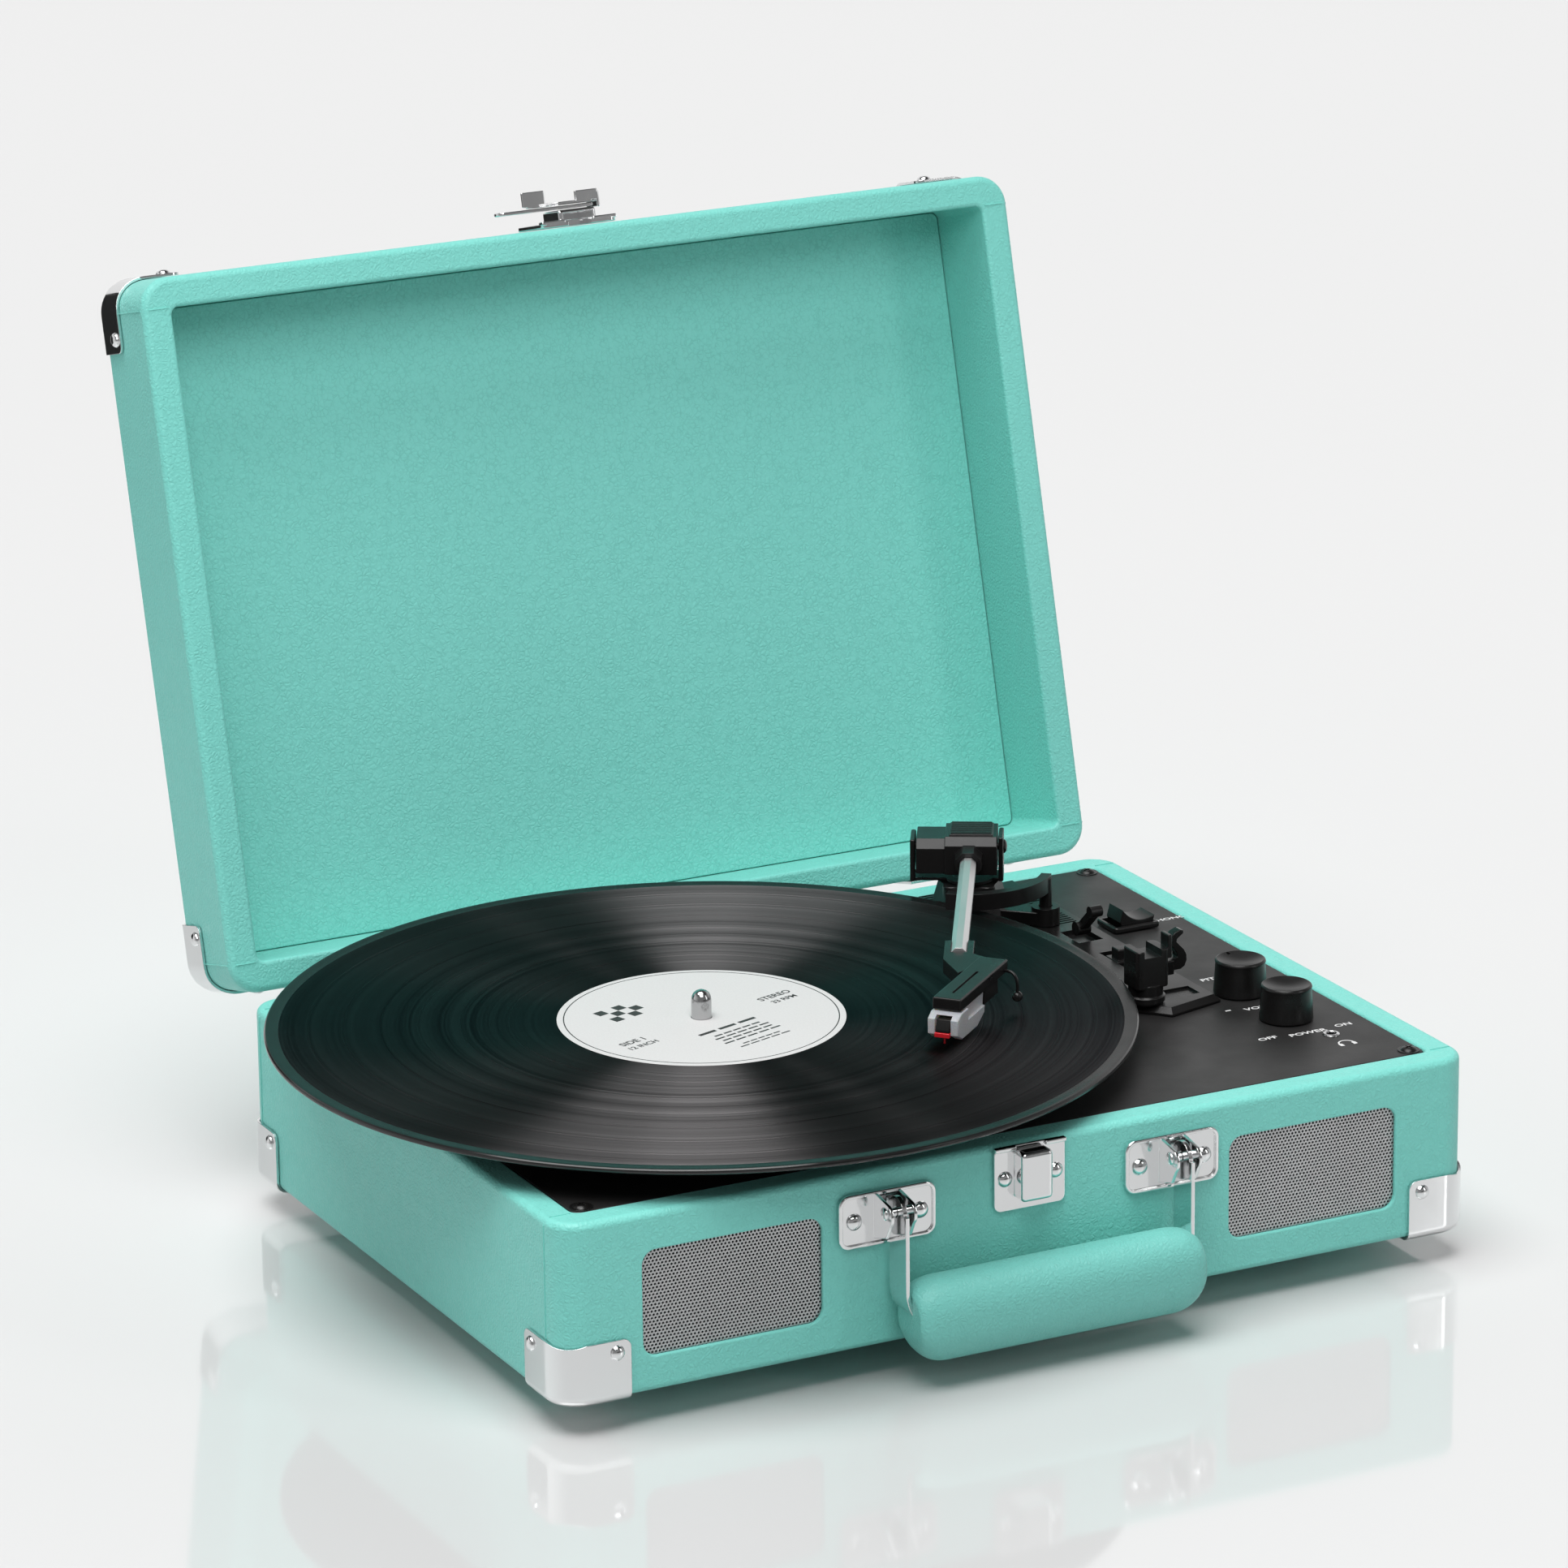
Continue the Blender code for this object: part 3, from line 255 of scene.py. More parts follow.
def vinyl_grooves(name):
    """Pressed vinyl: fine rings about the spindle that streak the light outward from the centre."""
    look = Look(name, (0.08, 0.076, 0.077), 0.38, 1.0, Anisotropic=1.0, Anisotropic_Rotation=0.25,
                Specular_Tint=(0.38, 0.38, 0.39, 1.0))
    look.link(look.node("ShaderNodeTangent", direction_type="RADIAL", axis="Z").outputs["Tangent"],
              look.shader.inputs["Tangent"])
    flat = look.node("ShaderNodeVectorMath", operation="MULTIPLY")
    flat.inputs[1].default_value = (1.0, 1.0, 0.0)
    look.link(look.place, flat.inputs[0])
    radius = look.node("ShaderNodeVectorMath", operation="LENGTH")
    look.link(flat.outputs["Vector"], radius.inputs[0])
    rings = []
    for scale in (900.0, 160.0):
        ring = look.node("ShaderNodeTexNoise", noise_dimensions="1D", Scale=scale, Detail=2.0)
        look.link(radius.outputs["Value"], ring.inputs["W"])
        rings.append(ring.outputs["Fac"])
    both = look.maths("ADD", look.maths("MULTIPLY", rings[0], 0.5),
                      look.maths("MULTIPLY", rings[1], 0.5))
    look.rough(look.ramp(both, 0.3, 0.7, 0.34, 0.42))
    look.colours(look.ramp(both, 0.3, 0.7), (0.055, 0.052, 0.0525), (0.105, 0.101, 0.102))
    return look.material


def paper(name, colour, roughness=0.6):
    look = Look(name, colour, roughness)
    fibre = look.noise(1500.0, 3.0)
    look.bump(fibre, 0.02, 0.4)
    look.colours(look.ramp(fibre, 0.3, 0.7), colour, tuple(c * 0.94 for c in colour))
    return look.material


def felt(name, colour):
    look = Look(name, colour, 0.95, Sheen_Weight=0.4)
    fluff = look.noise(2200.0, 4.0, 0.7)
    look.bump(fluff, 0.15, 0.8)
    look.colours(look.ramp(fluff, 0.3, 0.7), colour, tuple(c * 2.2 for c in colour))
    return look.material


# Each leatherette below darkens its furrows as painted shade.
SKIN = leatherette("leatherette", (0.205, 0.655, 0.585), (0.11, 0.45, 0.39), depth=0.13, crease_shade_strength=0.16)
# The grip's leatherette is a darker copy of the case's: painted shade, so its lit top comes out less
# bright.
SHADED_GRIP_SKIN = leatherette("grip_leatherette_shaded", (0.172, 0.54, 0.485), (0.095, 0.39, 0.34), depth=0.13,
                        crease_shade_strength=0.16)
LINING = leatherette("lining", (0.222, 0.69, 0.62), (0.10, 0.42, 0.365), 1.1, depth=0.12, crease_shade_strength=0.34)
CHROME = chrome("chrome")
NICKEL = chrome("nickel", (0.80, 0.80, 0.81), 0.12)
GRILLE_METAL = chrome("grille_metal", (0.52, 0.52, 0.525), 0.34, brushed=0.1)
ALUMINIUM = chrome("aluminium", (0.78, 0.77, 0.77), 0.42, brushed=0.05)
STEEL = chrome("steel", (0.55, 0.55, 0.56), 0.3, brushed=0.1)
BLACK = plastic("black_plastic", (0.006, 0.0057, 0.0057), 0.30, Specular_IOR_Level=0.36)
DECK = plastic("deck_plastic", (0.012, 0.0115, 0.0115), 0.47, texture=0.05, scale=1900.0)
PIN_STEEL = chrome("spindle_steel", (0.50, 0.50, 0.505), 0.14)
RUBBER = plastic("rubber", (0.014, 0.014, 0.014), 0.75, texture=0.06, scale=900.0)
DARK_CLOTH = felt("speaker_cloth", (0.004, 0.004, 0.004))
FELT = felt("slipmat_felt", (0.012, 0.012, 0.012))
VINYL = vinyl_grooves("record_vinyl")
SMOOTH_VINYL = plastic("vinyl_smooth", (0.006, 0.006, 0.006), 0.22, texture=0.01,
                       Specular_IOR_Level=0.12)
BEAD = plastic("vinyl_edge", (0.010, 0.010, 0.010), 0.16, texture=0.01, Specular_IOR_Level=0.5)
LABEL = paper("label_paper", (0.60, 0.597, 0.594), 0.8)
INK = paper("label_ink", (0.03, 0.03, 0.03))
PRINT = paper("deck_print", (0.72, 0.72, 0.72))
FROSTED = plastic("cartridge_plastic", (0.66, 0.62, 0.64), 0.32, texture=0.02, Transmission_Weight=0.35,
                  Subsurface_Weight=0.25)
RED = plastic("stylus_red", (0.50, 0.012, 0.02), 0.3)
BOARD = plastic("board", (0.02, 0.13, 0.05), 0.4)


# Shapes -------------------------------------------------------------------------------------------

WORKSHOP = bpy.data.collections.new("workshop")
bpy.context.scene.collection.children.link(WORKSHOP)


def slab(low, high, corner=0.0, edge=0.0, corner_steps=8, edge_steps=3):
    """A box between two corners, its upright edges rounded by corner and the flat ones by edge."""
    bm = bmesh.new()
    bmesh.ops.create_cube(bm, size=1.0)
    size = [h - l for l, h in zip(low, high)]
    middle = [(h + l) / 2 for l, h in zip(low, high)]
    bmesh.ops.scale(bm, vec=size, verts=bm.verts)
    bmesh.ops.translate(bm, vec=middle, verts=bm.verts)
    if corner:
        upright = [e for e in bm.edges if abs(e.verts[0].co.z - e.verts[1].co.z) > size[2] / 2]
        bmesh.ops.bevel(bm, geom=upright, offset=corner, segments=corner_steps, profile=0.5,
                        affect="EDGES")
    if edge:
        rim = bm.edges[:]
        if corner:
            rim = [e for e in rim if e.calc_face_angle() > 0.9
                   and abs(e.verts[0].co.z - e.verts[1].co.z) < size[2] / 4]
        bmesh.ops.bevel(bm, geom=rim, offset=edge, segments=edge_steps, profile=0.5, affect="EDGES")
    return bm


def rod(radius, low, high, steps=32, top_radius=None, facing=0.0):
    """A cylinder or cone along Z."""
    bm = bmesh.new()
    bmesh.ops.create_cone(bm, cap_ends=True, segments=steps, radius1=radius,
                          radius2=radius if top_radius is None else top_radius, depth=high - low)
    bmesh.ops.rotate(bm, matrix=Matrix.Rotation(math.radians(facing), 3, "Z"), verts=bm.verts)
    bmesh.ops.translate(bm, vec=(0, 0, (high + low) / 2), verts=bm.verts)
    return bm


def turned(profile, steps=64):
    """A (radius, height) profile turned about Z; a profile that misses the axis is a closed ring."""
    bm = bmesh.new()
    points = [bm.verts.new((r, 0, h)) for r, h in profile]
    edges = [bm.edges.new(pair) for pair in zip(points, points[1:])]
    if profile[0][0] > 0:
        edges.append(bm.edges.new((points[-1], points[0])))
    bmesh.ops.spin(bm, geom=points + edges, cent=(0, 0, 0), axis=(0, 0, 1), angle=2 * math.pi,
                   steps=steps, use_merge=True)
    bmesh.ops.remove_doubles(bm, verts=bm.verts, dist=0.0005)
    bmesh.ops.recalc_face_normals(bm, faces=bm.faces)
    return bm


def prism(outline, low, high, edge=0.0, edge_steps=2):
    """A flat outline in XY raised from low to high, its rims rounded by edge."""
    bm = bmesh.new()
    face = bm.faces.new([bm.verts.new((x, y, low)) for x, y in outline])
    raised = bmesh.ops.extrude_face_region(bm, geom=[face])
    top = [v for v in raised["geom"] if isinstance(v, bmesh.types.BMVert)]
    bmesh.ops.translate(bm, vec=(0, 0, high - low), verts=top)
    bmesh.ops.recalc_face_normals(bm, faces=bm.faces)
    if edge:
        rim = [e for e in bm.edges if abs(e.verts[0].co.z - e.verts[1].co.z) < 1e-6]
        bmesh.ops.bevel(bm, geom=rim, offset=edge, segments=edge_steps, profile=0.5, affect="EDGES")
    return bm


def dome(radius, flat=0.6):
    """A rivet head standing out along its own Z."""
    bm = bmesh.new()
    bmesh.ops.create_uvsphere(bm, u_segments=32, v_segments=20, radius=radius)
    bmesh.ops.scale(bm, vec=(1, 1, flat), verts=bm.verts)
    bmesh.ops.bisect_plane(bm, geom=bm.verts[:] + bm.edges[:] + bm.faces[:], plane_co=(0, 0, -0.3),
                           plane_no=(0, 0, 1), clear_inner=True)
    bmesh.ops.holes_fill(bm, edges=bm.edges)
    return bm


def arc(centre, radius, start, end, steps):
    angles = [math.radians(start + (end - start) * i / steps) for i in range(steps + 1)]
    return [(centre[0] + radius * math.cos(t), centre[1] + radius * math.sin(t)) for t in angles]


def solid(bm, matrix=HERE, name="piece"):
    bmesh.ops.scale(bm, vec=(MM, MM, MM), verts=bm.verts)
    mesh = bpy.data.meshes.new(name)
    bm.to_mesh(mesh)
    bm.free()
    made = bpy.data.objects.new(name, mesh)
    made.matrix_world = matrix
    WORKSHOP.objects.link(made)
    return made


def baked(made):
    """The object with its modifiers applied and its place moved into the mesh."""
    bpy.context.view_layer.update()
    evaluated = made.evaluated_get(bpy.context.evaluated_depsgraph_get())
    mesh = bpy.data.meshes.new_from_object(evaluated)
    mesh.transform(made.matrix_world)
    made.modifiers.clear()
    made.data = mesh
    made.matrix_world = HERE
    return made


def reopened(made):
    """The object's mesh with its modifiers applied, as a working mesh in millimetres."""
    bm = bmesh.new()
    bm.from_mesh(baked(made).data)
    bmesh.ops.scale(bm, vec=(1 / MM,) * 3, verts=bm.verts)
    return bm


def combined(made, others, how, matrix=HERE):
    """Join, cut or intersect with other meshes; one that comes without a place is put at matrix."""
    for other in others:
        bm, place = other if isinstance(other, tuple) else (other, matrix)
        other = solid(bm, place, "tool")
        boolean = made.modifiers.new("shape", "BOOLEAN")
        boolean.operation = how
        boolean.solver = "EXACT"
        boolean.object = other


def paint(made, look, smooth):
    """Give one material, and shade smoothly with broad faces kept flat."""
    made.data.materials.clear()
    made.data.materials.append(look)
    made.data.shade_smooth()
    made.data.set_sharp_from_angle(angle=math.radians(smooth))
    flat = made.modifiers.new("flat_faces", "WEIGHTED_NORMAL")
    flat.keep_sharp = True
    flat.weight = 100


def pocket(half_x, half_y, corner, depth, lip):
    """A cutter that opens at z = 0 with a rounded lip and runs down with upright walls."""
    steps = 5
    turns = [math.pi / 2 * i / steps for i in range(steps + 1)]
    rows = [(-depth, 0.0)] + [(-lip * (1 - math.sin(t)), lip * (1 - math.cos(t))) for t in turns]
    rows.append((2.0, lip))
    bm = bmesh.new()
    rings = []
    for z, grow in rows:
        ring = []
        for x, y, start in ((1, 1, 0), (-1, 1, 90), (-1, -1, 180), (1, -1, 270)):
            ring += arc((x * (half_x - corner), y * (half_y - corner)), corner + grow, start, start + 90, 8)
        rings.append([bm.verts.new((x, y, z)) for x, y in ring])
    for lower, upper in zip(rings, rings[1:]):
        for i in range(len(lower)):
            j = (i + 1) % len(lower)
            bm.faces.new((lower[i], lower[j], upper[j], upper[i]))
    bm.faces.new(rings[0][::-1])
    bm.faces.new(rings[-1])
    return bm


def piece(name, bm, look, body, nodes=(), slot=None, matrix=HERE, joins=(), cuts=(), smooth=35.0,
          centre=None):
    """Make one visible piece: joined, cut, shaded, painted and riding on its body."""
    made = solid(bm, matrix, name)
    made.name = name
    combined(made, joins, "UNION", matrix)
    combined(made, cuts, "DIFFERENCE", matrix)
    baked(made)
    tools = [o for o in WORKSHOP.objects if o is not made]
    for tool in tools:
        bpy.data.objects.remove(tool, do_unlink=True)
    WORKSHOP.objects.unlink(made)
    bpy.context.scene.collection.objects.link(made)
    paint(made, look, smooth)
    baked(made)
    if centre is not None:
        made.data.transform(Matrix.Translation(-centre * MM))
        made.location = centre * MM
    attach(made, body)
    if nodes:
        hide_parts(*nodes)
    return made


def black(name, bm, body, nodes=(), **rest):
    """A piece of black moulded plastic."""
    return piece(name, bm, BLACK, body, nodes, "black_plastic", **rest)


def plated(name, bm, body, nodes=(), **rest):
    """A piece of polished chrome."""
    return piece(name, bm, CHROME, body, nodes, "chrome", **rest)


def repaint(node, look, smooth=35.0):
    """Keep a CAD node as it is and give it a finished material."""
    paint(frame["nodes"][node], look, smooth)


# Case ---------------------------------------------------------------------------------------------

SEAM = 0.45
SEAM_HEIGHT = 0.3


def seams(sign_z, rim_z, bracket_z, middle_y):
    """Raised edges where the cloth's side flaps end: up each side face by the corner and over the rim."""
    made = []
    for sx in (-1, 1):
        for sy in (-1, 1):
            y = middle_y + sy * (CASE_Y - WALL)
            x = sorted((sx * (CASE_X - 1), sx * (CASE_X + SEAM_HEIGHT)))
            z = sorted((bracket_z, rim_z - sign_z * 2.2))
            made.append(slab((x[0], y - SEAM / 2, z[0]), (x[1], y + SEAM / 2, z[1]), edge=0.1))
            x = sorted((sx * (CASE_X - WALL + 1), sx * (CASE_X - 2.2)))
            z = sorted((rim_z - sign_z, rim_z + sign_z * SEAM_HEIGHT))
            made.append(slab((x[0], y - SEAM / 2, z[0]), (x[1], y + SEAM / 2, z[1]), edge=0.1))
    return made


def case():
    inside_x, inside_y = CASE_X - WALL, CASE_Y - WALL
    cuts = [(pocket(inside_x, inside_y, 3, BASE_HEIGHT - 59.3, 1.4), move(0, 0, BASE_HEIGHT)),
            slab((3 - inside_x, 3 - inside_y, 6), (inside_x - 3, inside_y - 3, 80), corner=3),
            (slab((30, 14, -20), (110, 46, 5), corner=3), REAR)]
    for x in (-110.8, 110.8):
        cuts.append((pocket(33, 18.5, 5, 20, 0.7), FRONT @ move(x, 31)))
        cuts.append((slab((x - 35.4, 10.1, -20), (x + 35.4, 51.9, -1.3), corner=5), FRONT))
    for sign in (-1, 1):
        x, y = sign * 108.0, sign * 68.0
        cuts.append(slab((x - 0.5, -68.5, -1), (x + 0.5, 68.5, 0.6)))
        cuts.append(slab((-108, y - 0.5, -1), (108, y + 0.5, 0.6)))
    piece("case_shell", slab((-CASE_X, -CASE_Y, 0), (CASE_X, CASE_Y, BASE_HEIGHT), CORNER, 2.6,
                             corner_steps=12, edge_steps=5),
          SKIN, "base", ["base_case"], "leatherette", cuts=cuts, joins=seams(1, BASE_HEIGHT, 19.0, 0.0))


def perforated(name, side, node):
    """A sheet of hexagonal cells, each with a round hole, held behind the window's lip."""
    pitch, hole = 1.36, 0.43
    low, high = node_box(node)
    width, height = high.x - low.x + 2.4, high.z - low.z + 2.4
    middle = (low + high) / 2
    bm = bmesh.new()
    flat, tall = pitch / 2, pitch / math.sqrt(3)
    rows, columns = int(height / (pitch * math.sqrt(3) / 2)), int(width / pitch)
    for row in range(-rows // 2, rows // 2 + 1):
        for column in range(-columns // 2, columns // 2 + 1):
            x = (column + 0.5 * (row % 2)) * pitch
            z = row * pitch * math.sqrt(3) / 2
            outer, inner = [], []
            for k in range(12):
                angle = math.radians(30 * k)
                reach = flat if k % 2 == 0 else tall
                outer.append(bm.verts.new((x + reach * math.cos(angle), z + reach * math.sin(angle), 0)))
                inner.append(bm.verts.new((x + hole * math.cos(angle), z + hole * math.sin(angle), 0)))
            for k in range(12):
                j = (k + 1) % 12
                bm.faces.new((outer[k], outer[j], inner[j], inner[k]))
    bmesh.ops.remove_doubles(bm, verts=bm.verts, dist=0.02)
    bmesh.ops.recalc_face_normals(bm, faces=bm.faces)
    thick = bmesh.ops.extrude_face_region(bm, geom=bm.faces[:])
    bmesh.ops.translate(bm, vec=(0, 0, -0.45), verts=[v for v in thick["geom"]
                                                      if isinstance(v, bmesh.types.BMVert)])
    bmesh.ops.recalc_face_normals(bm, faces=bm.faces)
    at = FRONT @ move(middle.x, middle.z, -1.5)
    piece(name, bm, GRILLE_METAL, "base", [node], "aluminium", matrix=at)
    piece("speaker_cloth_" + side,
          slab((low.x - 1.2, low.z - 1.2, -3.0), (high.x + 1.2, high.z + 1.2, -2.3), corner=3),
          DARK_CLOTH, "base", matrix=FRONT)


def spandrel(across, up, radius):
    """A cutter that rounds the corner of a sheet whose corner points to (across, up)."""
    outline = [(1, -radius), (1, 1), (-radius, 1)] + arc((-radius, -radius), radius, 90, 0, 8)
    return prism([(across * x, up * y) for x, y in outline], -9, 9)


def brackets(prefix, body, matrix, middle_y, base_z, up, height):
    """Pressed corner guards: a shell round each corner, scalloped between two domed rivets."""
    offset = CHROME_GAP + TRIM
    low_z, high_z = sorted((base_z, base_z + up * 60.0))
    for end, sy in (("front", -1), ("rear", 1)):
        for side, sx in (("left", -1), ("right", 1)):
            name = "%s_bracket_%s_%s" % (prefix, end, side)
            x, y = sx * CASE_X, middle_y + sy * CASE_Y
            skins = []
            for skin in (offset, CHROME_GAP):
                skins.append(slab((-CASE_X - skin, middle_y - CASE_Y - skin, low_z - skin),
                                  (CASE_X + skin, middle_y + CASE_Y + skin, high_z + skin),
                                  CORNER + skin, 2.6 + skin, corner_steps=12, edge_steps=5))
            ends = [sorted((x - sx * 25, x + sx * 5)), sorted((y - sy * 25, y + sy * 5)),
                    sorted((base_z - up * 5, base_z + up * height))]
            block = slab([e[0] for e in ends], [e[1] for e in ends])
            scallop = (rod(22, -40, 40, 96), matrix @ move(x, y, base_z + up * (height + 20.8))
                       @ turn(-sx * sy * 45, "Z") @ turn(90, "X"))
            rounds = [(spandrel(-sx, up, 3.0), matrix @ move(x - sx * 25, y, base_z + up * height)
                       @ turn(90, "X")),
                      (spandrel(-sy, up, 3.0), matrix @ move(x, y - sy * 25, base_z + up * height)
                       @ turn(90, "Z") @ turn(90, "X"))]
            rivet_z = base_z + up * (height - 4.4)
            rivets = [(dome(2.6, 0.62), matrix @ move(x - sx * 20, y + sy * offset, rivet_z)
                       @ turn(-sy * 90, "X")),
                      (dome(2.6, 0.62), matrix @ move(x + sx * offset, y - sy * 20, rivet_z)
                       @ turn(sx * 90, "Y"))]
            made = solid(block, matrix, name)
            combined(made, [(skins[0], matrix)], "INTERSECT")
            combined(made, [(skins[1], matrix), scallop, *rounds], "DIFFERENCE")
            combined(made, rivets, "UNION")
            plated(name, reopened(made), body, [name], smooth=40.0)


def lid():
    inside_x = CASE_X - WALL
    middle_y = (LID_FRONT + LID_BACK) / 2
    inside_y = (LID_BACK - LID_FRONT) / 2 - WALL
    hollow_top = LID_RIM + LID_DEPTH
    opening = LID @ move(0, middle_y, LID_RIM) @ turn(180, "X")
    cuts = [(pocket(inside_x, inside_y, 3, LID_DEPTH, 1.4), opening)]
    piece("lid_skin", slab((-CASE_X, LID_FRONT, LID_RIM), (CASE_X, LID_BACK, LID_TOP), CORNER, 2.6,
                           corner_steps=12, edge_steps=5),
          SKIN, "lid", ["lid_shell"], "leatherette", matrix=LID, cuts=cuts,
          joins=seams(-1, LID_RIM, LID_RIM + 24.0, middle_y))
    piece("lid_lining", slab((GAP - inside_x, LID_FRONT + WALL + GAP, hollow_top - 1.3),
                             (inside_x - GAP, LID_BACK - WALL - GAP, hollow_top - GAP), 2.7, 0.4),
          LINING, "lid", ["lid_liner"], "lining", matrix=LID)


def hinges():
    for side in ("left", "right"):
        for node in ("hinge_case_leaf_", "hinge_lid_leaf_"):
            repaint(node + side, NICKEL)


def feet():
    for end in ("front", "rear"):
        for side in ("left", "right"):
            name = "foot_%s_%s" % (end, side)
            low, high = node_box(name)
            middle = (low + high) / 2
            radius = (high.x - low.x) / 2
            profile = [(0, high.z), (radius - 0.4, high.z), (radius, high.z - 0.4),
                       (radius - 0.8, low.z + 1.2), (radius - 1.2, low.z + 0.5), (radius - 2, low.z + 0.02),
                       (4, low.z + 0.02), (3, low.z + 1.5), (0, low.z + 1.5)]
            piece("rubber_" + name, turned(profile, 48), RUBBER, "base", [name], "rubber",
                  matrix=move(middle.x, middle.y))


# Catch, striker and handle ------------------------------------------------------------------------

def catch():
    plate_joins = [slab((-7, 5.5, 1.5), (8, 20, 6.4), edge=0.9),
                   slab((-15, 3.05, 1.5), (-5.5, 6.5, 2.9), edge=0.4),
                   slab((5.5, 3.05, 1.5), (14.9, 6.5, 2.9), edge=0.4)]
    plated("catch_plate", slab((-15, 3, GAP), (15, 27, 2.1), 2.5, 0.4), "lid", ["latch_plate"],
           matrix=CATCH, joins=plate_joins,
           cuts=[slab((-4.5, 0, -1), (4.5, 8, 4)), slab((-5.4, 4, 2.6), (6.4, 18, 5.2))])
    arm = [(-27.5, 7.6), (-20, 7.0), (-10, 6.5), (7.5, 6.5), (7.5, 19.5), (-10, 19.5), (-14, 14.5),
           (-27.5, 13.6)] + arc((-27.0, 10.6), 3.0, 110, 250, 8)
    plated("catch_slide", prism(arm, 6.7, 8.0, 0.35), "latch_lever", ["latch_lever"], matrix=CATCH,
           cuts=[slab((-19.5, 9.2, 5), (-16.5, 12.2, 10))])
    hasp = [slab((-14, 20.3, 8.9), (-5, 21.5, 14.4), edge=0.3),
            slab((-4, 12, 8.3), (10, 21, 9.5), edge=0.3),
            slab((3.5, 12.02, 8.9), (12.5, 13.2, 12.9), edge=0.3),
            slab((11.8, 12.01, 6.2), (13, 21.49, 12.0), edge=0.3)]
    plated("catch_hasp", slab((-12.5, 20.3, 8.3), (13, 21.5, 9.6), edge=0.3), "latch_hasp",
           ["latch_hasp"], matrix=CATCH, joins=hasp)


def striker():
    joins = [slab((-6.5, 43.5, 0.9), (5.5, 61.0, 7.4), edge=1.7, edge_steps=5),
             slab((-14, 60.9, 0.5), (-6, 62.4, 2.6), edge=0.4),
             slab((5, 60.9, 0.5), (13, 62.4, 2.6), edge=0.4),
             (dome(2.7, 0.66), FRONT @ move(-10.1, 51, 1.5)), (dome(2.7, 0.66), FRONT @ move(9.2, 51, 1.5))]
    plated("striker", slab((-14, 39.4, GAP), (13, 62.4, 1.5), 2.5, 0.4), "base", ["latch_striker"],
           matrix=FRONT, joins=joins, cuts=[slab((-5.0, 50.0, 2.5), (4.0, 65.0, 6.0))])


HANDLE_X = 54.3
HANDLE_AXIS = joint_place("handle_swing")
STRAP = 1.5


def handle_plates():
    reach = -CASE_Y - HANDLE_AXIS.y
    for side, sx in (("left", -1), ("right", 1)):
        x = sx * HANDLE_X
        ear = [(GAP + 0.6, 39.0), (reach + 1.0, 41.5)]
        ear += arc((reach + 0.6, HANDLE_AXIS.z - 0.5), 4.4, -50, 62, 10)
        ear += [(GAP + 0.6, 55.2)]
        joins = []
        for start in (-3.7, 4.9):
            at = move(x + start, -CASE_Y) @ turn(-90, "Z") @ turn(90, "X")
            joins.append((prism(ear, 0, 1.2, 0.25), at))
        pin = turn(90, "Y")
        joins.append((rod(1.5, 0, 9), move(x - 4.5, HANDLE_AXIS.y, HANDLE_AXIS.z) @ pin))
        joins.append((dome(2.2, 0.5), move(x + 4.9, HANDLE_AXIS.y, HANDLE_AXIS.z) @ pin))
        joins.append((dome(2.2, 0.5), move(x - 4.9, HANDLE_AXIS.y, HANDLE_AXIS.z) @ turn(-90, "Y")))
        for offset in (-12.4, 12.4):
            joins.append((dome(2.9, 0.66), FRONT @ move(x + offset, 46, 1.1)))
        rim = slab((x - 18.2, 36.6, GAP), (x + 18.2, 55.8, 1.9), 4.0, 0.7, edge_steps=4)
        dish = slab((x - 16.9, 37.9, 1.1), (x + 16.9, 54.5, 4), 2.8)
        base = solid(rim, FRONT, "plate")
        combined(base, [(dish, FRONT)], "DIFFERENCE")
        plated("handle_mount_" + side, reopened(base), "base", ["handle_plate_" + side], joins=joins,
               smooth=40.0)


def strap_bm(width):
    """The bent flat strap: two straight legs joined under the grip by rounded corners."""
    bend, bottom = 17.0, 7.0
    halves = []
    for reach, low, radius in ((HANDLE_X + STRAP / 2, bottom, bend),
                               (HANDLE_X - STRAP / 2, bottom + STRAP, bend - STRAP)):
        halves.append(arc((reach - radius, low + radius), radius, -90, 0, 16) + [(reach, HANDLE_AXIS.z)])
    outer, inner = halves
    ring = outer + inner[::-1] + [(-x, z) for x, z in inner] + [(-x, z) for x, z in outer[::-1]]
    return prism(ring, -width / 2, width / 2, 0.3)


def handle():
    at = move(0, HANDLE_AXIS.y - 1.2) @ turn(90, "X")
    joins, cuts = [], []
    for sx in (-1, 1):
        eye = move(sx * HANDLE_X - STRAP / 2, HANDLE_AXIS.y, HANDLE_AXIS.z) @ turn(90, "Y")
        joins.append((rod(5.6, 0, STRAP, 48), eye))
        cuts.append((rod(1.9, -1, STRAP + 1, 32), eye))
    plated("handle_strap", strap_bm(12.0), "handle", ["handle_bail"], matrix=at, joins=joins, cuts=cuts)
    grip()


